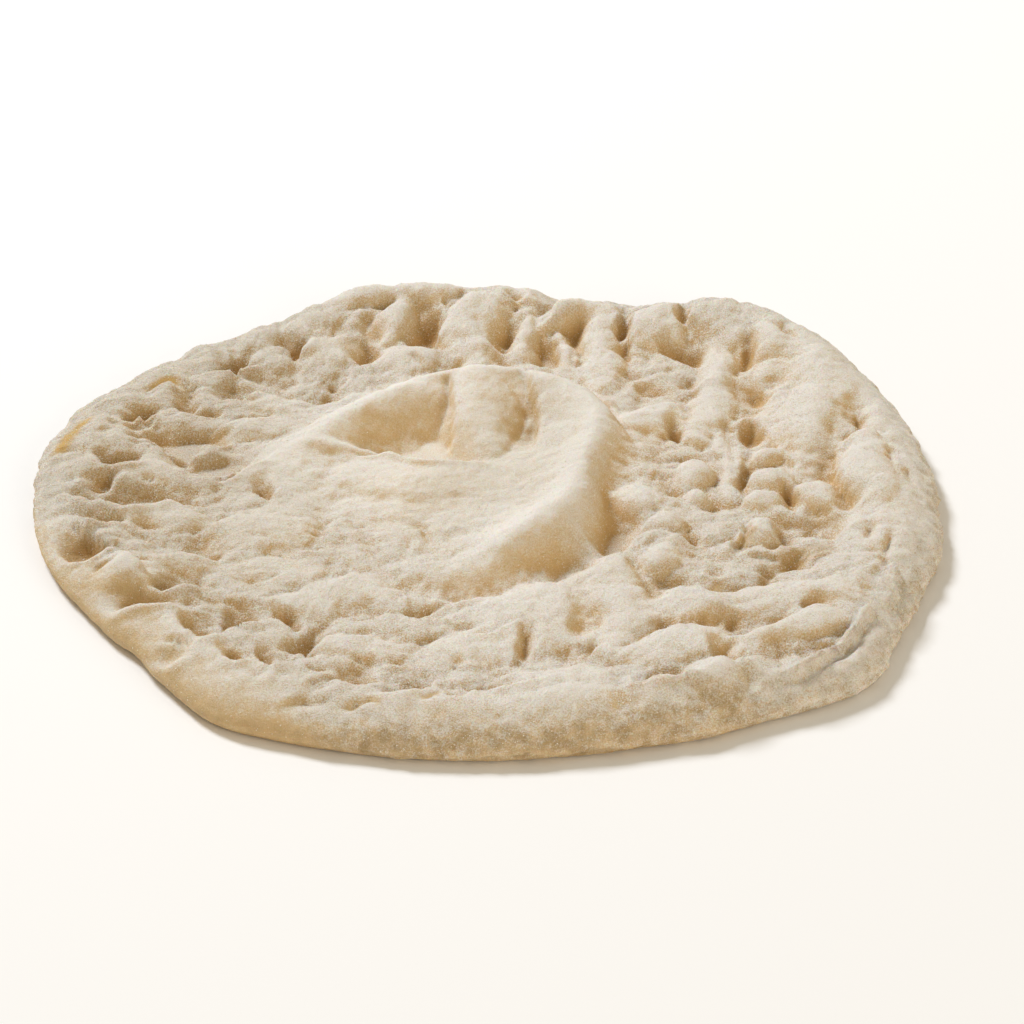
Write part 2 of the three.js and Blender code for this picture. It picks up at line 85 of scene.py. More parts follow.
# Soft pillows between the finger marks
PILLOW_SIZE = 19.0
PILLOW_DEPTH_SHARE = 0.8       # from back to front, as a share of the size
PILLOW_HEIGHT = 2.0
PILLOW_BLEND = 0.025           # less makes sharper valleys
PILLOW_MID = 0.45              # lifts the pillows to lie half above the floor
PILLOW_VALLEY = 0.35           # makes the valleys about 1 deep, before the height is given
PILLOW_TALLER = 0.25           # how much some pillows stand above others
PILLOW_JITTER = 0.75           # how far a pillow's centre strays, as a share of its cell

# Small knobs and wrinkles of the skin, and the share of them that calm dough keeps
KNOB_SIZE, KNOB_HEIGHT, KNOB_SHIFT, KNOB_LEAST = 9.0, 0.9, 3.0, 0.25
WRINKLES = ((5.5, 0.55), (3.0, 0.42), (2.1, 0.28))
WRINKLE_LEAST = 0.5
UNEVEN_HEIGHT = 1.5

# How far marks wander from their plain shape, and how ragged lines are
WANDER, WANDER_SIZE = 1.6, 37.0
RAGGED, RAGGED_SIZE = 0.6, 4.0

# Shape of the finger hollows
HOLLOW_WIDER, HOLLOW_BACKER, HOLLOW_FRONTER, HOLLOW_DEEPER = 1.2, 1.25, 1.15, 1.15
HOLLOW_KEPT, LIPPED_KEPT = 0.9, 1.25
HOLLOW_NARROWING = 0.35
HOLLOW_LEAN = 0.5              # how far the deepest place lies to the front, as a share of the depth
HOLLOW_FALL = (1.2, 1.9)
HOLLOW_LEAST = 3.0             # least reach to the front
RIM_LIP_SHARE, RIM_LIP_PLACE, RIM_LIP_SPREAD = 0.25, 1.25, 0.35
MARKS_FRONT = 3.0              # hollows and lumps are measured from a place this far to the front

# Shape of lumps, ridges, folds and creases
LUMP_FALL, LUMP_TALLER = 0.95, 1.15
LINE_STEPS = 6
ROUND_FALL, DIVE_FALL = 2.0, 1.4
RIDGE_END_LENGTH, RIDGE_END_HEIGHT = 0.12, 0.25
TUCK_END_LENGTH = 0.25
LIP_RISE_SHARE, LIP_FRONT, LIP_STEP = 0.35, 5.0, 0.9
CREASE_DEEPER, CREASE_FALL = 1.25, 1.4
CREASE_END_LENGTH, CREASE_END_DEPTH = 0.3, 0.2

# How far from a mark it is still worked out, in its own half widths
HOLLOW_SEEN, RIDGE_SEEN, FOLD_SEEN, CREASE_SEEN = 2.5, 3.2, 2.6, 4.0

# Finger hollows: deepest place x, y, half width, reach to the back, reach to the front, depth, turn
HOLLOWS = [
    # back
    (-44, 124, 6, 8, 7, 3.5, 0), (-49, 109, 7, 8, 8, 3, 0), (-24, 124, 7, 17, 6, 5, 0),
    (4, 117, 4, 16, 5, 2.5, -8), (10, 146, 3.5, 6, 4, 4, 0), (25, 146, 10, 8, 6, 4, 0),
    (33, 123, 4.5, 14, 13, 3.5, -25), (20, 110, 6, 13, 10, 3, 0), (51, 126, 3, 12, 8, 4, 0),
    (74, 130, 2.5, 10, 6, 4, 0), (71, 107, 4, 11, 11, 2, 65), (62, 82, 6, 5, 4, 2.5, 0),
    (76, 87, 6, 6, 4, 3, 0), (97, 100, 3, 16, 9, 3, 0), (107, 80, 3.5, 9, 6, 2.6, -25),
    (100, 72, 4, 7, 5, 2.6, 0), (114, 112, 3, 9, 6, 3, 0),
    # ring
    (-30, 35, 26, 28, 8, 7.5, -10), (45, -14, 8, 38, 24, 4, 0),
    # right
    (69, 50, 3, 8, 8, 4, 0), (97, 47, 5, 7, 6, 2.6, 0), (92, 15, 2.8, 15, 13, 4.5, 0),
    (105, -26, 5, 9, 5, 4.5, 0), (91, -24, 3, 5, 4, 3, 0), (118, -21, 8, 9, 6, 4.5, 0),
    (126, -6, 5, 7, 5, 2.5, 0), (121, 22, 6, 14, 12, 1.2, -10), (135, 56, 7, 16, 14, 3, 0),
    (104, -46, 5, 5, 4, 2.5, 0), (76, -50, 4, 5, 4, 3, 0), (77, -61, 10, 6, 5, 2.5, 0),
    # front
    (-8, -63, 8, 8, 6, 4.2, 0), (31, -82, 5, 15, 15, 3.4, 0), (13, -97, 3, 12, 12, 2.4, 0),
    (58, -124, 12, 8, 4, 6.8, 0), (78, -108, 5, 11, 9, 5, 0), (89, -110, 9, 9, 9, 3, 0),
    (81, -83, 11, 6, 5, 3, 0), (108, -81, 4.5, 5, 3, 3, 0), (104, -107, 9, 15, 15, 3.5, -55),
    (5, -142, 4, 6, 6, 1.2, 0), (5, -125, 11, 5, 4, 3, 10),
]

# Hollows whose front wall is a lip
LIPPED_HOLLOWS = [
    # back left
    (-96, 96, 8, 12, 5, 5, 15), (-93, 76, 7, 9, 4, 3, 10), (-113, 67, 5, 8, 3, 3, 20),
    (-126, 60, 4, 6, 4, 3, 0), (-133, 58, 6, 5, 3, 1.8, 0), (-131, 52, 9, 4, 3, 2, 0),
    (-121, 44, 7, 8, 4, 3, 0), (-110, 42, 9, 11, 8, 5, 0), (-100, 47, 9, 7, 5, 3.5, 0),
    (-133, 25, 9, 9, 5, 4, -10), (-108, 26, 9, 8, 6, 3, 0), (-95, 25, 12, 11, 6, 4, 0),
    (-79, 5, 4, 8, 5, 3, 0), (-76, 113, 8, 9, 6, 4.5, 0), (-60, 78, 9, 11, 8, 3.5, 0),
    # left
    (-137, 13, 6, 8, 7, 3, 0), (-139, 1, 9, 9, 8, 4, 0), (-126, -1, 12, 12, 9, 5, 0),
    (-110, 3, 13, 9, 6, 3.5, 0), (-135, -20, 8, 6, 5, 3, 0), (-139, -37, 7, 11, 6, 6, 30),
    (-98, -30, 11, 10, 9, 3.5, 0), (-115, -28, 9, 6, 5, 1.5, 0), (-104, -58, 8, 10, 7, 5, 0),
    (-116, -72, 12, 9, 7, 5.5, 0),
    # front left
    (-97, -86, 7, 9, 8, 4, 0), (-84, -81, 6, 11, 9, 4, 0), (-92, -94, 6, 8, 7, 4, 0),
    (-60, -97, 7, 6, 6, 3, 0), (-83, -111, 3.5, 6, 6, 3, 15), (-71, -109, 3, 10, 10, 3, 0),
    (-104, -104, 4, 9, 9, 3, 70), (-43, -121, 7, 9, 6, 3.5, 0), (-27, -124, 9, 11, 9, 3.5, 0),
    (-67, -80, 3, 8, 7, 3, 30), (-20, -76, 10, 5, 4, 2, 0),
]

# Smaller hollows and pits
SMALL_HOLLOWS = [
    (-132, -50, 4, 3, 3, 2, 0), (-98, -73, 3.5, 3, 3, 1.5, 0), (-55, -118, 6, 3, 3, 1.5, 0),
    (106, 2, 2.2, 8, 8, 3, 12), (-8, -135, 4, 4, 4, 2.5, 0), (-28, -107, 4, 3, 2, 2, 0),
    (-10, -110, 2.5, 3, 2, 2, 0),
]

# Puffed places: x, y, half length, half width, turn of the length from +X, height
LUMPS = [
    # ring
    (-26, 13, 32, 15, 0, 2.2), (-3, 53, 15, 26, 0, 5.5),
    # left
    (-78, -24, 22, 16, 0, 3.5), (-122, -57, 13, 10, 0, 3), (-60, 108, 14, 10, 0, 3),
    (-118, 18, 14, 7, 0, 2), (-88, 50, 18, 8, 8, 2.5), (-112, -14, 18, 7, 0, 2),
    (-105, -45, 14, 6, 0, 1.5), (-72, -50, 18, 8, 0, 2), (-62, -70, 14, 8, 0, 2), (-45, -62, 18, 8, 0, 2),
    (-42, -100, 16, 8, 0, 2.5), (-78, 66, 14, 10, 0, 2),
    # back
    (42, 108, 9, 27, 0, 4), (29, 111, 5.5, 12, 0, 3.5), (30, 132, 20, 8, 25, 3.5),
    (-33, 105, 13, 12, 0, 4), (-6, 121, 13, 24, 0, 5), (-38, 126, 17, 7, 69, 3),
    (-50, 145, 15, 9, 5, 2.5), (-24, 148, 14, 8, 0, 2.5), (17, 147, 16, 8, 0, 2), (65, 121, 12, 14, 0, 4),
    (85, 87, 8.5, 25, 0, 4), (104, 105, 7, 12, 0, 3), (15, 120, 6, 14, 0, 3), (114, 51, 13, 24, 0, 4.0),
    # right
    (52, -2, 9, 10, 0, 4), (62, -21, 9, 7, 0, 3.5), (58, -46, 8, 9, 0, 4.5), (74, 17, 7, 9, 0, 3.5),
    (74, 0, 6.5, 6, 0, 3), (77, 43, 6, 7, 0, 3), (95, -25, 8.5, 11, 0, 4.5), (117, 1, 10.5, 11, 0, 3.8),
    (99, 27, 8, 7, 0, 4), (102, 10, 10, 7, 0, 4), (96, -3, 7, 6, 0, 3), (86, 30, 4.5, 30, 0, 1.5),
    (60, 56, 14, 13, 10, 4), (80, 63, 9, 17, 0, 3), (134, 8, 11, 27, 0, 4), (105, 66, 7, 30, 0, 2.5),
    # front
    (18, -80, 25, 24, 20, 3.5), (45, -74, 14, 32, -10, 3), (69, -74, 17, 12, 0, 4.8),
    (102, -72, 25, 12, 0, 4.6), (66, -102, 22, 13, 5, 5.4), (71, -125, 12, 10, 0, 3.8),
    (100, -94, 20, 8, 20, 3.4), (20, -125, 22, 12, 0, 2), (-5, -100, 14, 12, 0, 2),
    # front rim
    (-28, -143, 13, 12, 0, 1.2), (-3, -142, 13, 12, 0, 1.4), (27, -138, 16, 16, 0, 1.7),
    (60, -134, 12, 13, 0, 1.5),
]

# Crest of the ring round the middle, from the left to the front, and its oval: x, y, half lengths
RING_LINE = [
    (-75, 22), (-61, 34), (-45, 51), (-33, 62), (-18, 69), (-2, 74), (15, 69), (30, 60), (38, 45), (38, 28),
    (34, 10), (31, -5), (27, -20), (18, -32), (10, -44), (2, -53), (-6, -62),
]
RING_OVAL = (-14, 28, 56, 58)

# Folded-up bands: the line they follow, height, half width on its left and on its right, and for a steep
# right side how it falls, 2 being an even round
RIDGES = [
    (RING_LINE, 12, 11, 15, 1.5),
    ([(45, -10), (42, -35), (31, -48), (14, -54), (3, -62), (-6, -69)], -4.2, 8, 8),
    ([(36, -65), (42, -49), (50, -37), (60, -32), (70, -36)], 3.5, 8, 7),
    ([(95, -125), (101, -122), (109, -115), (116, -107), (122, -97), (126, -89), (128, -84)], 4.0, 1.7, 1.7),
    ([(-98, -111), (-104, -115), (-112, -113)], 2, 4, 4),
    ([(125, 100), (120, 66), (117, 35), (113, 15)], 2.5, 9, 8),
    ([(90, 39), (91, 48), (95, 53), (98, 52), (100, 42)], 2.0, 2.5, 2.5),
]

# Front lips of the hollows: the lip's line from left to right, depth behind it and reach of that depth
LIPS = [
    # back left
    ([(-102, 96), (-98, 90), (-95, 86), (-93, 92), (-90, 100), (-86, 105)], 3.2, 9),
    ([(-79, 109), (-76, 105), (-73, 101), (-70, 106), (-68, 113)], 3.2, 8),
    ([(-136, 56), (-132, 52), (-128, 53), (-124, 50), (-122, 58)], 2.6, 7),
    ([(-134, 47), (-129, 45), (-123, 49)], 1.5, 3.5),
    ([(-116, 63), (-112, 58), (-101, 57), (-97, 61)], 2.4, 7),
    ([(-97, 68), (-93, 67), (-89, 70), (-87, 77)], 2.6, 9),
    ([(-87, 52), (-83, 53), (-80, 58), (-79, 64)], 2.0, 9),
    ([(-66, 70), (-60, 68), (-53, 70), (-51, 74)], 2.2, 9),
    ([(-61, 85), (-58, 81), (-54, 83), (-53, 89)], 2.0, 6),
    # left
    ([(-129, 34), (-123, 35), (-118, 32), (-109, 26), (-105, 36), (-99, 36), (-94, 40), (-90, 39)], 3.2, 10),
    ([(-144, 26), (-138, 20), (-133, 17), (-129, 19), (-124, 33)], 2.8, 8),
    ([(-118, 19), (-111, 14), (-103, 11), (-93, 9), (-88, 14), (-81, 20), (-75, 30)], 2.6, 9),
    ([(-143, 6), (-138, 4), (-134, 7), (-134, 14)], 1.8, 7),
    ([(-150, -9), (-140, -9), (-131, -15), (-125, -9), (-114, -7), (-107, -11), (-100, -11)], 3.2, 11),
    ([(-144, -17), (-140, -25), (-136, -28), (-129, -21)], 2.4, 7),
    ([(-82, 0), (-79, -4), (-76, -5), (-76, 4)], 1.6, 5), ([(-124, 10), (-120, 9), (-118, 11)], 1.2, 3),
    ([(-87, -17), (-81, -18), (-69, -15)], 1.2, 5), ([(-121, -23), (-117, -24), (-114, -23)], 1.0, 3),
    ([(-119, -46), (-108, -46), (-103, -43), (-93, -48)], 1.6, 8),
    ([(-62, -29), (-59, -31), (-56, -30), (-56, -23)], 1.8, 5),
    ([(-64, -42), (-59, -42), (-54, -40)], 1.6, 6),
    ([(-55, -29), (-50, -29), (-45, -26), (-42, -20)], 1.3, 5),
    # front left
    ([(-109, -64), (-107, -68), (-104, -69), (-98, -63)], 3.0, 8),
    ([(-125, -79), (-118, -81), (-114, -79), (-110, -71)], 3.4, 10),
    ([(-103, -81), (-101, -90), (-98, -96), (-92, -101), (-86, -95), (-81, -92), (-79, -85), (-80, -77)],
     3.2, 8),
    ([(-85, -108), (-84, -114), (-82, -117), (-79, -115)], 2.6, 4.5),
    ([(-72, -111), (-70, -118), (-68, -120), (-69, -112)], 2.8, 5),
    ([(-69, -80), (-66, -86), (-63, -92)], 2.0, 4),
    ([(-66, -100), (-62, -106), (-57, -110), (-56, -105)], 2.6, 7),
    ([(-59, -119), (-55, -121), (-51, -119)], 1.8, 4), ([(-76, -71), (-73, -73), (-70, -70)], 1.2, 4),
    ([(-89, -60), (-82, -60), (-74, -60), (-69, -56)], 1.2, 6),
    # front
    ([(-30, -79), (-24, -80), (-20, -77), (-10, -73), (-6, -75)], 2.6, 8),
    ([(-49, -85), (-38, -86), (-34, -82)], 1.4, 5),
    ([(-49, -100), (-42, -98), (-39, -95), (-41, -91)], 1.8, 6),
    ([(-24, -87), (-19, -85), (-12, -86), (-8, -83)], 1.4, 5),
    ([(-31, -112), (-27, -114), (-24, -113)], 1.6, 4), ([(-12, -114), (-10, -117), (-9, -114)], 1.8, 3),
    ([(-48, -130), (-43, -132), (-39, -132), (-39, -126)], 2.8, 8),
    ([(-33, -132), (-29, -136), (-25, -137), (-19, -133), (-18, -126), (-16, -119)], 3.2, 9),
    ([(-9, -140), (-1, -134), (4, -132), (12, -128)], 2.2, 6),
    ([(2, -148), (5, -150), (8, -148)], 0.7, 4),
    ([(28, -107), (33, -108), (36, -105), (37, -100)], 2.4, 10),
    ([(25, -117), (29, -118), (31, -114)], 1.5, 4), ([(6, -114), (10, -116), (13, -117)], 1.6, 5),
    ([(-5, -94), (1, -95), (6, -92), (11, -89)], 1.2, 5),
    # back
    ([(-32, 108), (-27, 108), (-21, 107), (-15, 108)], 2.4, 10),
    ([(-19, 139), (-17, 133), (-15, 131)], 1.8, 5), ([(15, 122), (22, 125), (25, 131), (28, 142)], 2, 8),
    ([(61, 111), (67, 105), (73, 100), (81, 95)], 2.5, 8),
    # ring floor
    ([(-54, 24), (-46, 23), (-39, 24), (-32, 26), (-25, 24), (-17, 21)], 1.5, 9),
    # right
    ([(65, 62), (68, 57), (73, 50)], 1.5, 4), ([(98, -39), (102, -39), (106, -39)], 2.4, 8),
    ([(109, -30), (113, -34), (118, -36), (122, -31), (125, -23)], 2.2, 8),
    ([(61, -70), (68, -67), (75, -73), (80, -71), (85, -65), (91, -62)], 1.5, 6),
    ([(55, -7), (59, -11), (61, -10)], 1.2, 3.5),
    # front right
    ([(50, -129), (54, -130), (60, -130), (64, -129), (67, -122)], 3.2, 9),
    ([(73, -116), (77, -116), (83, -121)], 2.4, 6), ([(79, -85), (81, -89), (86, -89)], 1.5, 4),
    ([(70, -94), (75, -94), (82, -94), (88, -88)], 1.8, 5),
    ([(104, -82), (107, -86), (111, -88)], 2.2, 5), ([(102, -115), (107, -113), (116, -106)], 2, 8),
]

# Overlapping folds: the line, rise and reach of the dough on its left, on its right, half width of the step
TUCKS = [
    # pleats on the ring's inner wall
    ([(-15, 75), (-14, 66), (-13, 50), (-15, 30)], -0.5, 8, -5.5, 15, 1.2),
    ([(13, 77), (15, 66), (18, 48), (16, 26)], 1.0, 11, -4.5, 12, 1.4),
    # left
    ([(-145, -20), (-140, -30), (-134, -37), (-130, -41), (-128, -43)], 2.5, 5, -4.5, 9, 0.7),
    ([(-128, -43), (-122, -51), (-118, -57), (-114, -62)], -2.5, 6, 2.0, 6, 0.7),
    ([(-128, 70), (-124, 73), (-119, 76), (-114, 73)], -1.6, 4, 1, 4, 0.7),
    # front
    ([(-68, -141), (-59, -138), (-50, -139)], 0.8, 3, -1.2, 3, 0.7),
    # back
    ([(-19, 135), (-20, 120), (-20, 108)], 1.5, 6, -2.5, 6, 0.8),
    ([(55, 132), (54, 118), (53, 108), (55, 95)], 1.5, 6, -2.5, 5, 0.8),
    ([(76, 134), (76, 125), (76, 116)], 1.5, 6, -2.0, 4, 0.8),
    # right
    ([(99, 48), (105, 29), (108, 20), (112, 9)], 1.2, 5, -1.2, 3, 0.7),
    ([(70, 48), (70, 41), (69, 34)], 1, 5, -2, 4, 0.7),
    ([(130, -62), (138, -57), (139, -65), (138, -72), (135, -79), (133, -87)], -4, 6, 2.5, 6, 0.7),
    ([(87, -17), (89, -26), (87, -34), (84, -40), (85, -45)], -2.0, 4, 1.6, 5, 0.7),
    ([(85, -43), (89, -40), (94, -38), (99, -40), (107, -37), (122, -36)], -1.2, 4, 1.0, 6, 0.7),
    ([(86, -44), (91, -45), (99, -44), (105, -46), (109, -51), (114, -46), (124, -45)],
     0.8, 4, -1.2, 4, 0.7),
    ([(71, -22), (73, -37), (73, -51), (74, -60)], 0.8, 6, -0.8, 4, 0.7),
    # lobe at the right
    ([(127, 33), (124, 18), (124, 5), (126, -5), (129, -14)], 1.9, 9, -1.8, 6, 1.0),
    ([(126, 29), (132, 34), (138, 34), (143, 30)], -3.0, 10, 1.2, 6, 1.0),
]

# Creases: the line, depth, half width
CREASES = [
    # left and front left
    ([(-157, 28), (-153, 43), (-147, 58)], 1.2, 3), ([(-107, -101), (-101, -103), (-94, -108)], 2.2, 1.3),
    ([(-113, 82), (-112, 75), (-110, 69)], 1.4, 1.6), ([(-110, 82), (-110, 74), (-110, 69)], 1.2, 1.4),
    ([(-47, -141), (-43, -143), (-38, -141), (-31, -144)], 1.6, 1.0),
    # back
    ([(-42, 130), (-43, 115), (-47, 105), (-49, 99)], 2.5, 5),
    ([(10, 132), (7, 118), (3, 105), (-1, 96)], 1.5, 4), ([(10, 147), (10, 137), (10, 130)], 2.5, 2.5),
    ([(-31, 102), (-26, 97), (-20, 88)], 1.5, 1.6), ([(-64, 89), (-60, 84), (-57, 80)], 1.2, 1.5),
    ([(35, 127), (33, 113), (31, 103), (32, 94)], 2.5, 3.5), ([(25, 118), (24, 107), (22, 96)], 2.2, 3.5),
    # ring
    ([(28, 79), (35, 70), (41, 60), (47, 47), (54, 28)], 2.3, 1.6),
    ([(38, 65), (43, 58), (48, 50)], 1.0, 1.2),
    ([(-26, -20), (-23, -22), (-21, -27), (-20, -32)], 1.6, 1.4),
    ([(-27, -32), (-27, -36), (-27, -39)], 1.0, 1.2),
    # right
    ([(97, 52), (95, 40), (92, 31)], 2.0, 4),
    ([(109, 80), (104, 80), (102, 73), (101, 64), (101, 51)], 1.5, 3),
    ([(61, 18), (64, 7), (68, -2)], 2.2, 2.0), ([(105, 5), (106, -5), (108, -13)], 2.5, 2.0),
    ([(69, -21), (70, -28), (71, -36)], 2, 2),
    ([(52, -38), (50, -48), (52, -56), (58, -69), (62, -75)], 2.2, 3),
    ([(95, -52), (96, -58), (97, -66)], 1.6, 1.4),
    ([(118, 18), (121, 9), (123, 2), (127, -7), (129, -16)], 1.0, 2.5),
    ([(132, -25), (132, -33), (130, -40)], 2.0, 1.8), ([(140, -32), (138, -40), (137, -46)], 1.5, 1.6),
    ([(135, 55), (135, 43), (137, 36)], 3.0, 1.7),
    ([(141, -34), (137, -44), (136, -52), (135, -58), (132, -61), (128, -60)], 1.6, 1.8),
    # stretched strands at the right
    ([(86, 64), (86, 44), (83, 18), (83, -7)], 0.9, 1.0),
    ([(89, 58), (88, 35), (88, 13), (87, -7)], 0.9, 1.0),
    ([(82, 35), (81, 13), (81, -9), (80, -19)], 0.7, 1.0), ([(87, 58), (87, 35), (86, 5)], 0.7, 1.0),
    ([(145, 24), (146, 20), (147, 15)], 1.7, 1.2), ([(148, 10), (149, 5), (150, -1)], 1.7, 1.2),
    ([(143, 22), (144, 12)], 1.4, 1.2),
    # front
    ([(12, -89), (13, -100), (13, -114)], 2.2, 1.8),
    ([(39, -73), (38, -87), (36, -100), (35, -107)], 1.5, 3),
    ([(81, -101), (79, -107), (77, -113)], 3, 3), ([(39, -134), (42, -139), (45, -145)], 1.4, 1.6),
    ([(95, -127), (102, -124), (110, -116), (118, -108), (123, -100), (127, -90)], 3.0, 1.8),
]

# Smoother places: x, y, half length, half width, turn, share of the pillows taken away
CALM_PLACES = [
    (*RING_OVAL, 0, 0.9), (18, -30, 26, 30, 0, 0.6), (140, 20, 30, 70, 0, 0.5),
    (128, 80, 30, 40, 40, 0.6), (112, 46, 18, 34, 0, 0.6), (20, -152, 120, 14, 0, 0.7),
]
RING_CALM, RING_CALM_REACH = 0.85, 15.0
LUMP_CALM = 0.75
RIM_CALM = 0.7

# Stretches of the rim, as shares of the edge radius and as lengths: the smooth top at the front, the face
# that turns down, and the smooth, barer stretch at the front left
TOP_FROM_TO, TOP_FRONT_FROM_TO = (0.92, 0.98), (40, 110)
FACE_FROM_TO = (0.9, 0.97)
RUBBED_TOWARD, RUBBED_FROM_TO = (-0.8, -0.6), (122, 142)

# Least graininess of the flour away from the ring, and on the rim's face
GRAINY, FACE_GRAINY = 0.6, 0.45

# Bare moist strips where folds keep the flour off: the line, half width, share
BARE_STRIPS = [
    ([(-156, 25), (-154, 32), (-152, 40), (-149, 48), (-145, 56)], 3.0, 1.0),
    ([(-127, 72), (-123, 76), (-119, 78), (-114, 79)], 2.4, 1.0),
    ([(-46, -141), (-42, -143), (-37, -141), (-32, -144)], 1.1, 0.8),
    ([(-21, -141), (-17, -139), (-14, -139)], 1.2, 0.8), ([(80, -59), (77, -63), (74, -64)], 2.2, 0.7),
    ([(86, -36), (90, -32), (93, -33)], 2.2, 0.5), ([(98, -45), (108, -44), (120, -43)], 4.0, 0.35),
]
BARE_END_LENGTH, BARE_FALL = 0.2, 4

# Places on the front rim where less flour is given, so the rim looks darker there: x, y, half length, half
# width, share
THIN_PLACES = [(-15, -147, 9, 6, 0.18), (44, -141, 13, 7, 0.2), (76, -138, 12, 8, 0.14)]

# Flour on the skin: the usual share, and what adds to it or takes from it, partly as painted shade
FLOUR_USUAL = 0.7
FLOUR_GRAINY = 0.12
FLOUR_PUFF = 0.085             # for each mm that the dough stands above its surroundings, so hollows are barer and darker: painted shade
# flour taken from walls turned away from the key light, and the most lean that counts: painted shade
FLOUR_SHADE_LEAN, SHADE_LEAN_MOST = 1.7, 0.27
FLOUR_FACE, FLOUR_FACE_FROM_TO = 0.3, (40, 110)
FLOUR_RUBBED = 0.16
FLOUR_RING, FLOUR_RING_REACH = 0.09, 20.0
KEY_LIGHT_FROM = np.array([-0.64, 0.77])  # direction of the key light at the back left: walls turned away from it are painted barer and darker, as painted shade
SHADE_LEAN_SHARE = 0.55
PUFF_ROUNDS, PUFF_RING_CALM = 90, 0.6

# Slightly darker dough: at the left, and on the ring's floor to the right of a slanting line
TAN_LEFT, TAN_LEFT_FROM_TO = 0.8, (10, 110)
TAN_RING, TAN_RING_SLANT, TAN_RING_FROM_TO = 0.95, 0.4, (-37, -17)


def between(a, b, c, d, f):
    """Smooth curve through four neighbouring values, between the middle two."""
    return b + 0.5 * f * (c - a + f * (2 * a - 5 * b + 4 * c - d + f * (3 * (b - c) + d - a)))


def around(values, angle):
    """Value of a ring of equally spaced values at an angle."""
    count = len(values)
    place = np.mod(angle / (2 * np.pi), 1.0) * count
    first = np.floor(place).astype(int)
    return between(*(values[(first + step) % count] for step in (-1, 0, 1, 2)), place - first)


def smooth_line(places):
    """Finer line through the places of a fold."""
    p = np.array(places, float)
    p = np.vstack([2 * p[0] - p[1], p, 2 * p[-1] - p[-2]])
    line = []
    for i in range(1, len(p) - 2):
        for step in range(LINE_STEPS):
            line.append(between(p[i - 1], p[i], p[i + 1], p[i + 2], step / LINE_STEPS))
    line.append(p[-2])
    return np.array(line)


def smooth_step(value, low, high):
    """0 below low, 1 above high and smooth between."""
    f = np.clip((value - low) / (high - low), 0, 1)
    return f * f * (3 - 2 * f)


def away_from_ends(passed, length):
    """0 at both ends of a line and 1 away from them, by the share of the line that is passed."""
    return smooth_step(np.minimum(passed, 1 - passed), 0, length)


def at_least(least, share):
    """A share that starts at the least value in place of 0."""
    return least + (1 - least) * share


def draw(column, row, use):
    """A fixed draw between 0 and 1 for a cell's column, row and use."""
    value = np.sin(column * DRAW_MIX[0] + row * DRAW_MIX[1] + use * DRAW_MIX[2]) * DRAW_SPREAD
    return value - np.floor(value)


def turned(x, y, centre_x, centre_y, turn):
    """Place seen from a mark's own centre and turn."""
    c, s = math.cos(math.radians(turn)), math.sin(math.radians(turn))
    return (x - centre_x) * c + (y - centre_y) * s, -(x - centre_x) * s + (y - centre_y) * c


def oval_share(x, y, centre_x, centre_y, half_length, half_width, turn=0):
    """1 inside an oval, 0 outside it and smooth between."""
    a, b = turned(x, y, centre_x, centre_y, turn)
    return np.exp(-((a / half_length) ** 2 + (b / half_width) ** 2) ** 2)


def wandered(x, y):
    """Place moved a little to and fro, so that marks aren't regular ovals."""
    a, b = x / WANDER_SIZE * 2 * np.pi, y / WANDER_SIZE * 2 * np.pi
    return x + WANDER * np.sin(b + np.sin(a)), y + WANDER * np.sin(a + np.sin(b))


def eased(f):
    """From 0 to 1 with level ends."""
    return f * f * f * (f * (6 * f - 15) + 10)


def uneven(x, y, size, use):
    """Smooth unevenness between about -1 and 1 with knobs of one size."""
    gx, gy = x / size, y / size
    i, j = np.floor(gx), np.floor(gy)
    fx, fy = gx - i, gy - j
    sx, sy = eased(fx), eased(fy)

    def slope(di, dj):
        angle = 2 * np.pi * draw(i + di, j + dj, use)
        return np.cos(angle) * (fx - di) + np.sin(angle) * (fy - dj)

    low = slope(0, 0) * (1 - sx) + slope(1, 0) * sx
    high = slope(0, 1) * (1 - sx) + slope(1, 1) * sx
    return UNEVEN_HEIGHT * (low * (1 - sy) + high * sy)


def hollow_depth(x, y, centre_x, centre_y, half_width, back, front, depth, turn):
    """A finger's hollow: it leans to the front, where its rim is a low lip."""
    across, along = turned(x, y, centre_x, centre_y, turn)
    lean = HOLLOW_LEAN * depth
    along = along + lean
    back_reach = back * HOLLOW_BACKER + lean
    front_reach = max(front * HOLLOW_FRONTER - lean, HOLLOW_LEAST)
    width = half_width * HOLLOW_WIDER * (1 + HOLLOW_NARROWING * np.clip(along / back_reach, -1, 1))
    far = (across / width) ** 2 + (along / np.where(along > 0, back_reach, front_reach)) ** 2
    reach = np.sqrt(far)
    toward_front = np.clip(-along / front_reach / np.maximum(reach, TINY), 0, 1)
    lip = RIM_LIP_SHARE * depth * toward_front * np.exp(-((reach - RIM_LIP_PLACE) / RIM_LIP_SPREAD) ** 2)
    return lip - HOLLOW_DEEPER * depth * np.exp(-HOLLOW_FALL[0] * far - HOLLOW_FALL[1] * far ** 2)


def lump_height(x, y, centre_x, centre_y, half_length, half_width, turn, height):
    a, b = turned(x, y, centre_x, centre_y, turn)
    return height * np.maximum(1 - (a / half_length) ** 2 - (b / half_width) ** 2, 0) ** LUMP_FALL


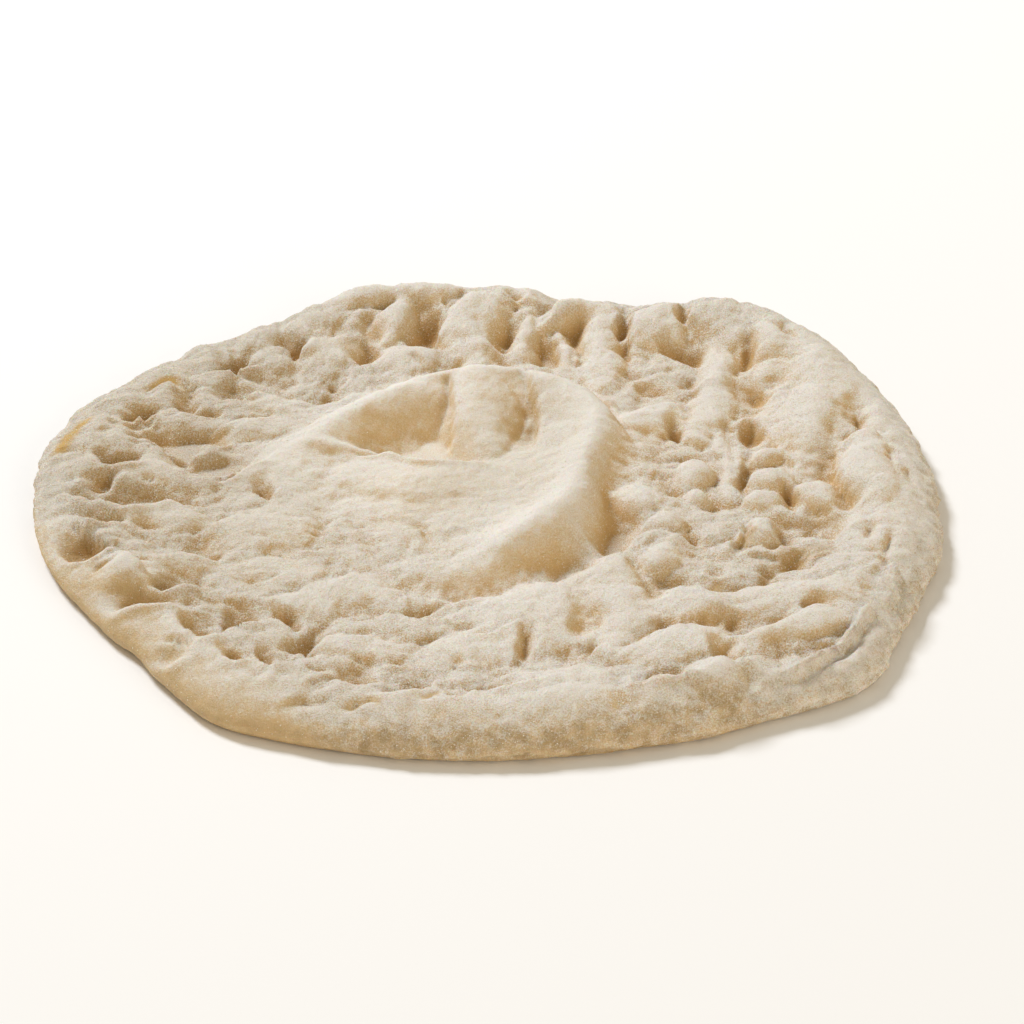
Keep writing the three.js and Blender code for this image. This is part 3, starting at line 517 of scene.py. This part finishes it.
def beside(x, y, places):
    """Distance to a line, the side of it (left is 1, right is -1) and the share of its length passed."""
    line = smooth_line(places)
    nearest = np.full(x.shape, FAR)
    side = np.zeros(x.shape)
    passed = np.zeros(x.shape)
    count = len(line) - 1
    for k in range(count):
        ax, ay = line[k]
        ux, uy = line[k + 1] - line[k]
        length = math.hypot(ux, uy)
        f = np.clip(((x - ax) * ux + (y - ay) * uy) / length ** 2, 0, 1)
        ex, ey = x - ax - f * ux, y - ay - f * uy
        distance = np.hypot(ex, ey)
        closer = distance < nearest
        nearest = np.where(closer, distance, nearest)
        side = np.where(closer, (ux * ey - uy * ex) / length / np.maximum(distance, TINY), side)
        passed = np.where(closer, (k + f) / count, passed)
    return nearest, side, passed


def ridge_height(x, y, places, height, left, right, right_fall=ROUND_FALL):
    nearest, side, passed = beside(x, y, places)
    share = 0.5 + 0.5 * side
    width, fall = right + (left - right) * share, right_fall + (ROUND_FALL - right_fall) * share
    ends = at_least(RIDGE_END_HEIGHT, away_from_ends(passed, RIDGE_END_LENGTH))
    return height * np.exp(-(nearest / width) ** fall) * ends


def fold_side(nearest, rise, reach):
    """Dough on one side of a fold: raised dough is round, sunken dough falls off faster at the fold."""
    return rise * np.exp(-(nearest / reach) ** (DIVE_FALL if rise < 0 else ROUND_FALL))


def tuck_height(x, y, places, left_rise, left_reach, right_rise, right_reach, half_step):
    nearest, side, passed = beside(x, y, places)
    across = smooth_step(side * nearest, -half_step, half_step)
    left = fold_side(nearest, left_rise, left_reach)
    right = fold_side(nearest, right_rise, right_reach)
    return (right + (left - right) * across) * away_from_ends(passed, TUCK_END_LENGTH)


def lip_height(x, y, places, depth, reach):
    return tuck_height(x, y, places, -depth, reach, LIP_RISE_SHARE * depth, LIP_FRONT, LIP_STEP)


def crease_height(x, y, places, depth, half_width):
    nearest, _, passed = beside(x, y, places)
    ends = at_least(CREASE_END_DEPTH, away_from_ends(passed, CREASE_END_LENGTH))
    return -CREASE_DEEPER * depth * np.exp(-(nearest / half_width) ** CREASE_FALL) * ends


def near(x, y, places, reach):
    """Which points lie in a box round some places."""
    p = np.atleast_2d(np.array(places, float))
    low, high = p.min(0) - reach, p.max(0) + reach
    return (x > low[0]) & (x < high[0]) & (y > low[1]) & (y < high[1])


def pillow_height(x, y, size, use):
    """Domes with sharp valleys, round one drawn centre in each cell; 0 on top, -1 in the valleys."""
    gx, gy = x / size, y / (size * PILLOW_DEPTH_SHARE)
    closeness = np.zeros(x.shape)
    for di in (-1, 0, 1):
        for dj in (-1, 0, 1):
            column, row = np.floor(gx) + di, np.floor(gy) + dj
            px = column + 0.5 + PILLOW_JITTER * (draw(column, row, use) - 0.5)
            py = row + 0.5 + PILLOW_JITTER * (draw(column, row, use + 1) - 0.5)
            taller = PILLOW_TALLER * (draw(column, row, use + 2) - 0.5)
            closeness += np.exp((taller - (gx - px) ** 2 - (gy - py) ** 2) / PILLOW_BLEND)
    return PILLOW_BLEND * np.log(closeness) / PILLOW_VALLEY


def rubbed_rim(x, y):
    """Share of the smooth, barer stretch of rim at the front left."""
    return smooth_step(RUBBED_TOWARD[0] * x + RUBBED_TOWARD[1] * y, *RUBBED_FROM_TO)


def surface_shares(x, y):
    """How rough the dough is at each place, how grainy its flour, and the share of the rim's face."""
    marks_y = y + MARKS_FRONT
    rough = np.ones(x.shape)
    for *oval, share in CALM_PLACES:
        rough *= 1 - share * oval_share(x, marks_y, *oval)
    by_ring = 1 - RING_CALM * np.exp(-(beside(x, y, RING_LINE)[0] / RING_CALM_REACH) ** 2)
    rim_share = np.hypot(x, y) / around(EDGE_RADII, np.arctan2(y, x))
    smooth_top = smooth_step(rim_share, *TOP_FROM_TO) * smooth_step(-y, *TOP_FRONT_FROM_TO)
    unrubbed = 1 - RIM_CALM * rubbed_rim(x, y)
    rough *= by_ring * (1 - RIM_CALM * smooth_top) * unrubbed
    grainy = GRAINY * by_ring * (1 - oval_share(x, marks_y, *RING_OVAL)) * unrubbed
    face = smooth_step(rim_share, *FACE_FROM_TO) * unrubbed
    return rough, grainy, face


def pressed_marks(wx, wy):
    """Depth of all the finger hollows."""
    depth = np.zeros(wx.shape)
    for hollows, kept in ((HOLLOWS + SMALL_HOLLOWS, HOLLOW_KEPT), (LIPPED_HOLLOWS, LIPPED_KEPT)):
        for hollow in hollows:
            here = near(wx, wy, hollow[:2], HOLLOW_SEEN * max(hollow[2:5]))
            depth[here] += kept * hollow_depth(wx[here], wy[here], *hollow)
    return depth


def folds(x, y):
    """Height of all the ridges, lips, tucks and creases."""
    height = np.zeros(x.shape)
    for ridge in RIDGES:
        here = near(x, y, ridge[0], RIDGE_SEEN * max(ridge[2:4]))
        height[here] += ridge_height(x[here], y[here], *ridge)
    rx = x + RAGGED * uneven(x, y, RAGGED_SIZE, RAGGED_DRAWS)
    ry = y + RAGGED * uneven(x, y, RAGGED_SIZE, RAGGED_DRAWS + 1)
    for lip in LIPS:
        here = near(x, y, lip[0], FOLD_SEEN * max(lip[2], LIP_FRONT))
        height[here] += lip_height(rx[here], ry[here], *lip)
    for tuck in TUCKS:
        here = near(x, y, tuck[0], FOLD_SEEN * max(tuck[2], tuck[4]))
        height[here] += tuck_height(rx[here], ry[here], *tuck)
    for crease in CREASES:
        here = near(x, y, crease[0], CREASE_SEEN * crease[2])
        height[here] += crease_height(rx[here], ry[here], *crease)
    return height


def relief(x, y):
    """Height of all the marks above floor and rim, graininess of the flour, share of the rim's face."""
    wx, wy = wandered(x, y + MARKS_FRONT)
    rough, grainy, face = surface_shares(x, y)
    domes = np.zeros(x.shape)
    cover = np.zeros(x.shape)
    for lump in LUMPS:
        here = near(wx, wy, lump[:2], max(lump[2:4]))
        rise = lump_height(wx[here], wy[here], *lump)
        domes[here] = np.maximum(domes[here], LUMP_TALLER * rise)
        cover[here] = np.maximum(cover[here], rise / lump[5])
    rough *= 1 - LUMP_CALM * np.sqrt(cover)
    pillows = PILLOW_HEIGHT * (PILLOW_MID + pillow_height(wx, wy, PILLOW_SIZE, PILLOW_DRAWS))
    knobs = KNOB_HEIGHT * (PILLOW_MID + pillow_height(wx + KNOB_SHIFT, wy, KNOB_SIZE, KNOB_DRAWS))
    height = domes + rough * pillows + at_least(KNOB_LEAST, rough) * knobs
    for use, (size, rise) in enumerate(WRINKLES):
        height += at_least(WRINKLE_LEAST, rough) * rise * uneven(x, y, size, WRINKLE_DRAWS + use)
    height += pressed_marks(wx, wy) + folds(x, y)
    return height, np.maximum(np.maximum(rough, grainy), FACE_GRAINY * face), face


def edge_bulges(angle, column):
    """Sum of the edge's bulges at an angle, of the edge radius or of the rim height."""
    total = np.zeros(angle.shape)
    for bulge in EDGE_BULGES:
        off = np.mod(np.degrees(angle) - bulge[0] + 180, 360) - 180
        total += bulge[column] * np.exp(-(off / bulge[1]) ** 2)
    return total


def skin_points(ring, angle):
    """The dough's skin: over the top, then round the edge to the underside."""
    edge = around(EDGE_RADII, angle) + edge_bulges(angle, EDGE_RISE)
    upper_rings = EDGE_RINGS - UNDER_RINGS
    top_rings = CELLS // 2 - EDGE_RINGS
    over = np.clip((ring - top_rings) / upper_rings, 0, 1) * np.pi / 2
    under = np.clip((ring - top_rings - upper_rings) / UNDER_RINGS, 0, 1) * np.pi / 2
    along, down = angle * EDGE_RADII.mean(), FACE_STRETCH * (over + under)
    wrinkled = sum(rise * uneven(along, down, size, FACE_DRAWS + use)
                   for use, (size, rise) in enumerate(FACE_WRINKLES))
    wrinkled *= 1 - RIM_CALM * rubbed_rim(edge * np.cos(angle), edge * np.sin(angle))
    out = np.sin(over) ** EDGE_SLOPE
    shoulder = edge - EDGE_ROUND
    turned_in = EDGE_UNDER * (1 - np.cos(under))
    rounded = shoulder + EDGE_ROUND * out - turned_in + wrinkled * out * np.cos(under)
    radius = np.where(ring <= top_rings, shoulder * np.minimum(ring / top_rings, 1), rounded)
    x, y = radius * np.cos(angle), radius * np.sin(angle)
    inward = np.minimum((radius / edge - RIM_PLACE) / RIM_SPREAD, 0)
    rim_height = around(RIM_HEIGHTS, angle) + edge_bulges(angle, RIM_RISE)
    rim = (rim_height - FLOOR_HEIGHT) * np.exp(-inward ** 2)
    height, rough, face = relief(x, y)
    top = np.maximum(FLOOR_HEIGHT + rim + height, LEAST_HEIGHT)
    z = BELLY_HEIGHT * (1 - np.sin(under)) + (top - BELLY_HEIGHT) * np.cos(over) ** EDGE_SLOPE
    return np.stack([x - MIDDLE[0], y - MIDDLE[1], z], -1), rough, face


def disc_place(columns, rows):
    """Ring and angle of grid corners: square rings of the grid become round rings of the disc."""
    ring = np.maximum(np.abs(columns), np.abs(rows))
    wide = np.abs(columns) >= np.abs(rows)
    long_side = np.where(wide, columns, rows)
    share = np.where(wide, rows, columns) / np.where(long_side == 0, 1, long_side)
    angle = np.where(wide, np.pi / 4 * share, np.pi / 2 - np.pi / 4 * share)
    return ring, angle + np.where(long_side < 0, np.pi, 0)


def add_piece(name, data):
    piece = bpy.data.objects.new(name, data)
    bpy.context.scene.collection.objects.link(piece)
    return piece


def make_dough():
    sheet = bmesh.new()
    bmesh.ops.create_grid(sheet, x_segments=CELLS, y_segments=CELLS, size=CELLS / 2)
    corners = np.array([v.co[:2] for v in sheet.verts])
    points, rough, face = skin_points(*disc_place(np.round(corners[:, 0]), np.round(corners[:, 1])))
    points *= MM
    for vertex, point in zip(sheet.verts, points):
        vertex.co = point
    border = [e for e in sheet.edges if e.is_boundary]
    bmesh.ops.holes_fill(sheet, edges=border, sides=0)
    bmesh.ops.recalc_face_normals(sheet, faces=sheet.faces)
    for facet in sheet.faces:
        facet.smooth = True
    mesh = bpy.data.meshes.new("pizza_dough")
    sheet.to_mesh(mesh)
    sheet.free()
    return add_piece("pizza_dough", mesh), points, rough, face


class Tone:
    """A value that varies over a finish. Arithmetic with tones or numbers adds Math nodes."""

    def __init__(self, finish, socket):
        self.finish = finish
        self.socket = socket

    def maths(self, operation, first, second):
        return self.finish.node("ShaderNodeMath", {"operation": operation}, {0: first, 1: second})

    def __add__(self, other):
        return self.maths("ADD", self, other)

    def __radd__(self, other):
        return self.maths("ADD", other, self)

    def __sub__(self, other):
        return self.maths("SUBTRACT", self, other)

    def __rsub__(self, other):
        return self.maths("SUBTRACT", other, self)

    def __mul__(self, other):
        return self.maths("MULTIPLY", self, other)

    def __rmul__(self, other):
        return self.maths("MULTIPLY", other, self)

    def ramp(self, low, high):
        """0 at low, 1 at high and smooth between."""
        return self.finish.node("ShaderNodeMapRange", {"interpolation_type": "SMOOTHSTEP"},
                                {"Value": self, "From Min": low, "From Max": high})


# Sockets of a Mix node that mixes colours
MIX_SHARE, MIX_FIRST, MIX_SECOND, MIX_RESULT = 0, 6, 7, 2


class Finish:
    """A material and the nodes that make it."""

    def __init__(self, name):
        self.material = bpy.data.materials.new(name)
        self.material.use_nodes = True
        self.tree = self.material.node_tree
        self.tree.nodes.clear()

    def node(self, kind, settings=None, sockets=None, output=0):
        made = self.tree.nodes.new(kind)
        for name, value in (settings or {}).items():
            setattr(made, name, value)
        for name, value in (sockets or {}).items():
            if isinstance(value, Tone):
                self.tree.links.new(value.socket, made.inputs[name])
            else:
                made.inputs[name].default_value = value
        return Tone(self, made.outputs[output] if made.outputs else None)

    def place(self):
        return self.node("ShaderNodeTexCoord", output="Object")

    def noise(self, size_mm, detail, roughness):
        return self.node("ShaderNodeTexNoise", None, {
            "Vector": self.place(), "Scale": 1 / (size_mm * MM), "Detail": detail, "Roughness": roughness})

    def stored(self, name):
        """A value that the piece's corners hold."""
        return self.node("ShaderNodeAttribute", {"attribute_name": name}, output="Fac")

    def mixed(self, share, first, second, blend="MIX"):
        return self.node("ShaderNodeMix", {"data_type": "RGBA", "blend_type": blend},
                         {MIX_SHARE: share, MIX_FIRST: first, MIX_SECOND: second}, output=MIX_RESULT)

    def multiplied(self, share, first, second):
        return self.mixed(share, first, second, "MULTIPLY")

    def bumped(self, height, distance_mm):
        return self.node("ShaderNodeBump", None, {
            "Height": height, "Distance": distance_mm * MM, "Strength": 1.0})

    def done(self, sockets):
        shader = self.node("ShaderNodeBsdfPrincipled", None, sockets)
        self.node("ShaderNodeOutputMaterial", None, {"Surface": shader})
        return self.material


def colour(red, green, blue):
    """A colour given as it looks on screen, 0 to 255, as light values."""
    def light(value):
        share = value / 255
        return share / 12.92 if share <= 0.04045 else ((share + 0.055) / 1.055) ** 2.4
    return (light(red), light(green), light(blue), 1.0)


# Patterns of the finishes: size in mm, detail, roughness
GRAIN, FLECKS, DUST, PATCHES = (0.5, 2, 0.6), (1.9, 2, 0.6), (3.2, 3, 0.6), (24, 2, 0.5)
MOTTLE, PUCKERS, FLOUR_TINT = (4.5, 1, 0.4), (1.3, 2, 0.6), (9, 2, 0.5)
NOISE_MID = 0.5

# How much of the flour each pattern wears off, everywhere and besides on the rim's face or on grainy flour
PATCH_WEAR = 0.3
DUST_WEAR, DUST_WEAR_FACE, FLECK_WEAR_FACE = 0.4, 0.2, 0.9
GRAIN_WEAR, GRAIN_WEAR_GRAINY = 0.5, 1.3
FLOUR_FROM_TO = (0.15, 0.85)

# Colours: flour, bare dough on high places, in low places where it is darker as painted shade, on the rim's
# face and where it is moist, and what darkens them
FLOUR_COLOUR = colour(238, 234, 227)
BARE_HIGH, BARE_LOW_SHADED = colour(226, 198, 150), colour(215, 177, 119)
BARE_FACE, BARE_MOIST = colour(225, 204, 169), colour(207, 171, 107)
SPECKLE_DARK, SPECKLE_PALE = colour(233, 226, 216), colour(255, 254, 252)
MOTTLE_DARK, MOTTLE_PALE = colour(222, 217, 208), colour(255, 255, 255)
TANNED = colour(241, 239, 234)
BARE_HIGH_TO_LOW = (1.0, -4.0)         # height above the surroundings at which bare dough is high or low; the low colour is painted shade
BARE_FACE_SHARE = 0.7
SPECKLE_FROM_TO, SPECKLE, SPECKLE_GRAINY = (0.35, 0.65), 0.3, 0.6
MOTTLE_FROM_TO, MOTTLE_FLOURED = (0.3, 0.7), 0.5

PUCKER_SHARE, PUCKER_LEAST, PUCKER_HEIGHT = 0.9, 0.5, 0.75
DOUGH_ROUGHNESS, FLOUR_ROUGHER = 0.62, 0.25
DOUGH_SOFTNESS = {
    "Specular IOR Level": 0.3,
    "Subsurface Weight": 0.35,
    "Subsurface Radius": (1.0, 0.5, 0.22),
    "Subsurface Scale": 0.003,
}


def dough_finish():
    """Flour over bare dough, worn by grains, flecks, dust and patches, with painted shade on walls turned
    from the key light and in hollows.
    """
    finish = Finish("raw_dough")
    grainy, face = finish.stored("rough"), finish.stored("face")
    grain, flecks, dust, patches = (finish.noise(*pattern) for pattern in (GRAIN, FLECKS, DUST, PATCHES))
    worn = (patches - NOISE_MID) * PATCH_WEAR
    worn = worn + (dust - NOISE_MID) * (DUST_WEAR + DUST_WEAR_FACE * face)
    worn = worn + (flecks - NOISE_MID) * FLECK_WEAR_FACE * face
    worn = worn + (grain - NOISE_MID) * (GRAIN_WEAR + GRAIN_WEAR_GRAINY * grainy)
    # the stored flour share is lower on walls turned from the key light and in hollows: painted shade
    flour = (finish.stored("flour") + worn).ramp(*FLOUR_FROM_TO)
    # painted shade: bare dough in hollows takes the darker, warmer low colour
    bare = finish.mixed(finish.stored("puff").ramp(*BARE_HIGH_TO_LOW), BARE_HIGH, BARE_LOW_SHADED)
    bare = finish.mixed(BARE_FACE_SHARE * face, bare, BARE_FACE)
    skin = finish.mixed(flour, bare, FLOUR_COLOUR)
    speckle = finish.mixed(grain.ramp(*SPECKLE_FROM_TO), SPECKLE_DARK, SPECKLE_PALE)
    skin = finish.multiplied(SPECKLE + SPECKLE_GRAINY * grainy, skin, speckle)
    mottle = finish.mixed(finish.noise(*MOTTLE).ramp(*MOTTLE_FROM_TO), MOTTLE_DARK, MOTTLE_PALE)
    skin = finish.multiplied(face * (1 - MOTTLE_FLOURED * flour), skin, mottle)
    skin = finish.multiplied(finish.stored("tan"), skin, TANNED)
    skin = finish.mixed(finish.stored("bare"), skin, BARE_MOIST)
    puckered = finish.noise(*PUCKERS) * PUCKER_SHARE + grain
    puckered = puckered * (PUCKER_LEAST + (1 - PUCKER_LEAST) * grainy)
    return finish.done({
        "Base Color": skin,
        "Roughness": DOUGH_ROUGHNESS + FLOUR_ROUGHER * flour,
        "Normal": finish.bumped(puckered, PUCKER_HEIGHT),
        **DOUGH_SOFTNESS,
    })


GRAIN_PALE, GRAIN_TINTED = colour(244, 239, 229), colour(236, 226, 205)
GRAIN_TINT_FROM_TO = (0.35, 0.65)
GRAIN_ROUGHNESS, GRAIN_TINT_ROUGHER, GRAIN_SHINE = 0.9, 0.05, 0.2


def flour_finish():
    finish = Finish("loose_flour")
    tint = finish.noise(*FLOUR_TINT).ramp(*GRAIN_TINT_FROM_TO)
    return finish.done({
        "Base Color": finish.mixed(tint, GRAIN_PALE, GRAIN_TINTED),
        "Roughness": GRAIN_ROUGHNESS + GRAIN_TINT_ROUGHER * tint,
        "Specular IOR Level": GRAIN_SHINE,
    })


def spread(field, rounds):
    """Slow average of a square field of heights over its neighbours."""
    for _ in range(rounds):
        edge = np.pad(field, 1, mode="edge")
        field = (edge[:-2, 1:-1] + edge[2:, 1:-1] + edge[1:-1, :-2] + edge[1:-1, 2:] + edge[1:-1, 1:-1]) / 5
    return field


def height_over_surroundings(points):
    heights = points[:, 2].reshape(SIDE, SIDE) / MM
    return (heights - spread(heights, PUFF_ROUNDS)).ravel()


def turned_from_key_light(points):
    """How far the skin leans away from the key light, for painted shade: 0 is level, about 1 is upright and
    turned away.
    """
    places = points.reshape(SIDE, SIDE, 3) / MM
    along, across = np.gradient(places, axis=0), np.gradient(places, axis=1)
    facing = np.cross(across, along)
    facing /= np.maximum(np.linalg.norm(facing, axis=-1, keepdims=True), TINY)
    level = np.maximum(np.linalg.norm(facing[..., :2], axis=-1), TINY)
    toward = facing[..., :2] @ KEY_LIGHT_FROM / level
    return ((1 - facing[..., 2]) * SHADE_LEAN_SHARE * (1 - toward)).ravel()


def bare_share(x, y):
    """Share of the moist strips."""
    bare = np.zeros(x.shape)
    for places, half_width, share in BARE_STRIPS:
        nearest, _, passed = beside(x, y, places)
        strip = away_from_ends(passed, BARE_END_LENGTH) * np.exp(-(nearest / half_width) ** BARE_FALL)
        bare = np.maximum(bare, share * strip)
    return bare


def store(piece, name, values):
    layer = piece.data.attributes.new(name, "FLOAT", "POINT")
    padded = np.zeros(len(piece.data.vertices), np.float32)
    padded[:len(values)] = values
    layer.data.foreach_set("value", padded)


def store_looks(dough, points, rough, face):
    """What the finish reads from the dough's corners."""
    x, y = points[:, :2].T / MM
    # the tables of marks count from the disc's own centre, not from the frame's origin
    plan_x, plan_y = x + MIDDLE[0], y + MIDDLE[1]
    in_ring = oval_share(plan_x, plan_y + MARKS_FRONT, *RING_OVAL)
    puff = height_over_surroundings(points) * (1 - PUFF_RING_CALM * in_ring)
    # hollows keep less flour than raised dough: painted shade in the hollows
    flour = FLOUR_USUAL + FLOUR_GRAINY * rough + FLOUR_PUFF * puff
    # painted shade: walls turned away from the key light lose flour, so they look darker and warmer
    flour -= FLOUR_SHADE_LEAN * np.minimum(turned_from_key_light(points), SHADE_LEAN_MOST)
    flour += FLOUR_FACE * face * smooth_step(x, *FLOUR_FACE_FROM_TO)
    flour -= FLOUR_RUBBED * rubbed_rim(x, y)
    flour += FLOUR_RING * np.exp(-(beside(plan_x, plan_y, RING_LINE)[0] / FLOUR_RING_REACH) ** 2)
    for centre_x, centre_y, half_length, half_width, share in THIN_PLACES:
        off = ((plan_x - centre_x) / half_length) ** 2 + ((plan_y - centre_y) / half_width) ** 2
        flour -= share * np.exp(-off)
    ring_floor = in_ring * smooth_step(plan_x - TAN_RING_SLANT * plan_y, *TAN_RING_FROM_TO)
    tan = np.maximum(TAN_LEFT * smooth_step(-x, *TAN_LEFT_FROM_TO), TAN_RING * ring_floor)
    store(dough, "bare", bare_share(plan_x, plan_y))
    store(dough, "tan", tan)
    store(dough, "puff", puff)
    store(dough, "rough", rough)
    store(dough, "face", face)
    store(dough, "flour", flour)


dough, points, rough, face = make_dough()
store_looks(dough, points, rough, face)
dough.data.materials.append(dough_finish())
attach(dough, "root")
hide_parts("pizza_base")


# Loose flour: grain count, smallest and largest half size in mm
FLOUR_GRAINS, FLOUR_SMALL, FLOUR_LARGE = 48000, 0.16, 0.42
FLOUR_SEED = 7
GRAIN_CORNERS = np.array([(1, 1, 1), (1, -1, -1), (-1, 1, -1), (-1, -1, 1)]) / math.sqrt(3)
GRAIN_FACES = np.array([(0, 1, 2), (0, 3, 1), (0, 2, 3), (1, 3, 2)])
GRAIN_SINK = 0.05              # how deep a grain sits, as a share of its half size
GRAIN_CALM = 0.15              # share of the grains that the calmest dough keeps


def random_turns(rng, count):
    """Turn matrices that point every way alike."""
    q = rng.normal(size=(count, 4))
    w, x, y, z = (q / np.linalg.norm(q, axis=1, keepdims=True)).T
    return np.array([[1 - 2 * (y * y + z * z), 2 * (x * y - z * w), 2 * (x * z + y * w)],
                     [2 * (x * y + z * w), 1 - 2 * (x * x + z * z), 2 * (y * z - x * w)],
                     [2 * (x * z - y * w), 2 * (y * z + x * w), 1 - 2 * (x * x + y * y)]]).transpose(2, 0, 1)


def scatter_flour(points, rough):
    rng = np.random.default_rng(FLOUR_SEED)
    grid = points.reshape(SIDE, SIDE, 3)
    a, b, c, d = grid[:-1, :-1], grid[:-1, 1:], grid[1:, 1:], grid[1:, :-1]
    facing = np.cross(c - a, d - b)
    area = np.linalg.norm(facing, axis=-1)
    ring = np.abs(np.arange(CELLS) + 0.5 - CELLS / 2)
    seen = np.maximum(ring[:, None], ring[None]) < CELLS / 2 - UNDER_RINGS
    grainy = rough.reshape(SIDE, SIDE)[:-1, :-1]
    chance = (area * seen * at_least(GRAIN_CALM, grainy)).ravel()
    cell = np.unravel_index(rng.choice(chance.size, FLOUR_GRAINS, p=chance / chance.sum()), area.shape)
    u, v = rng.random((2, FLOUR_GRAINS, 1))
    place = (a[cell] * (1 - u) + b[cell] * u) * (1 - v) + (d[cell] * (1 - u) + c[cell] * u) * v
    normal = facing[cell] / area[cell][:, None]
    size = FLOUR_SMALL * MM * (FLOUR_LARGE / FLOUR_SMALL) ** (rng.random((FLOUR_GRAINS, 1)) ** 2)
    middle = place - GRAIN_SINK * size * normal
    corners = GRAIN_CORNERS @ random_turns(rng, FLOUR_GRAINS) * size[:, None] + middle[:, None]
    faces = GRAIN_FACES[None] + len(GRAIN_CORNERS) * np.arange(FLOUR_GRAINS)[:, None, None]
    mesh = bpy.data.meshes.new("flour_grains")
    mesh.from_pydata(corners.reshape(-1, 3).tolist(), [], faces.reshape(-1, 3).tolist())
    flour = add_piece("flour_grains", mesh)
    flour.data.materials.append(flour_finish())
    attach(flour, "root")


scatter_flour(points, rough)


# Studio: sizes and places in metres, light in watts
FLOOR_HALF = 4.0
FLOOR_BELOW = 0.4 * MM
FLOOR_LOOK = {"Base Color": colour(250, 250, 250), "Roughness": 0.9, "Specular IOR Level": 0.1}
WORLD_COLOUR, WORLD_STRENGTH = (1, 0.90, 0.73, 1), 0.42

# Lights: name, place, size, watts, tint
LIGHTS = [
    ("key", (-1.6, 1.9, 2.4), 1.0, 100, (0.955, 0.99, 1.05)),
    ("front_fill", (1.7, -2.1, 0.8), 1.6, 27, (1.0, 0.88, 0.69)),
]

# Camera: elevation in degrees, distance and near clip in metres, lens and sensor in mm
CAMERA_ELEVATION = 30.0
CAMERA_DISTANCE = 1.25
CAMERA_LENS, CAMERA_SENSOR = 125.0, 36.0
CAMERA_CLIP = 0.05
CAMERA_AIM = Vector((9.83, -9.76, 6.2)) * MM


def make_floor():
    sheet = bmesh.new()
    bmesh.ops.create_grid(sheet, x_segments=1, y_segments=1, size=FLOOR_HALF)
    bmesh.ops.translate(sheet, verts=sheet.verts, vec=(0, 0, -FLOOR_BELOW))
    mesh = bpy.data.meshes.new("floor")
    sheet.to_mesh(mesh)
    sheet.free()
    floor = add_piece("floor", mesh)
    floor.data.materials.append(Finish("pale_floor").done(FLOOR_LOOK))


def add_light(name, place, size, watts, tint):
    lamp = bpy.data.lights.new(name, "AREA")
    lamp.shape = "DISK"
    lamp.size = size
    lamp.energy = watts
    lamp.color = tint
    light = add_piece(name, lamp)
    light.location = place
    light.rotation_euler = (-Vector(place)).to_track_quat("-Z", "Y").to_euler()


def add_camera():
    lens = bpy.data.cameras.new("photo_camera")
    lens.lens = CAMERA_LENS
    lens.sensor_width = CAMERA_SENSOR
    lens.clip_start = CAMERA_CLIP
    camera = add_piece("photo_camera", lens)
    tilt = math.radians(CAMERA_ELEVATION)
    camera.location = CAMERA_AIM + CAMERA_DISTANCE * Vector((0, -math.cos(tilt), math.sin(tilt)))
    camera.rotation_euler = (math.pi / 2 - tilt, 0, 0)
    bpy.context.scene.camera = camera


def soft_studio():
    make_floor()
    world = bpy.data.worlds.new("studio")
    bpy.context.scene.world = world
    world.use_nodes = True
    background = world.node_tree.nodes["Background"].inputs
    background["Color"].default_value = WORLD_COLOUR
    background["Strength"].default_value = WORLD_STRENGTH
    for light in LIGHTS:
        add_light(*light)
    bpy.context.scene.view_settings.view_transform = "Standard"


soft_studio()
add_camera()
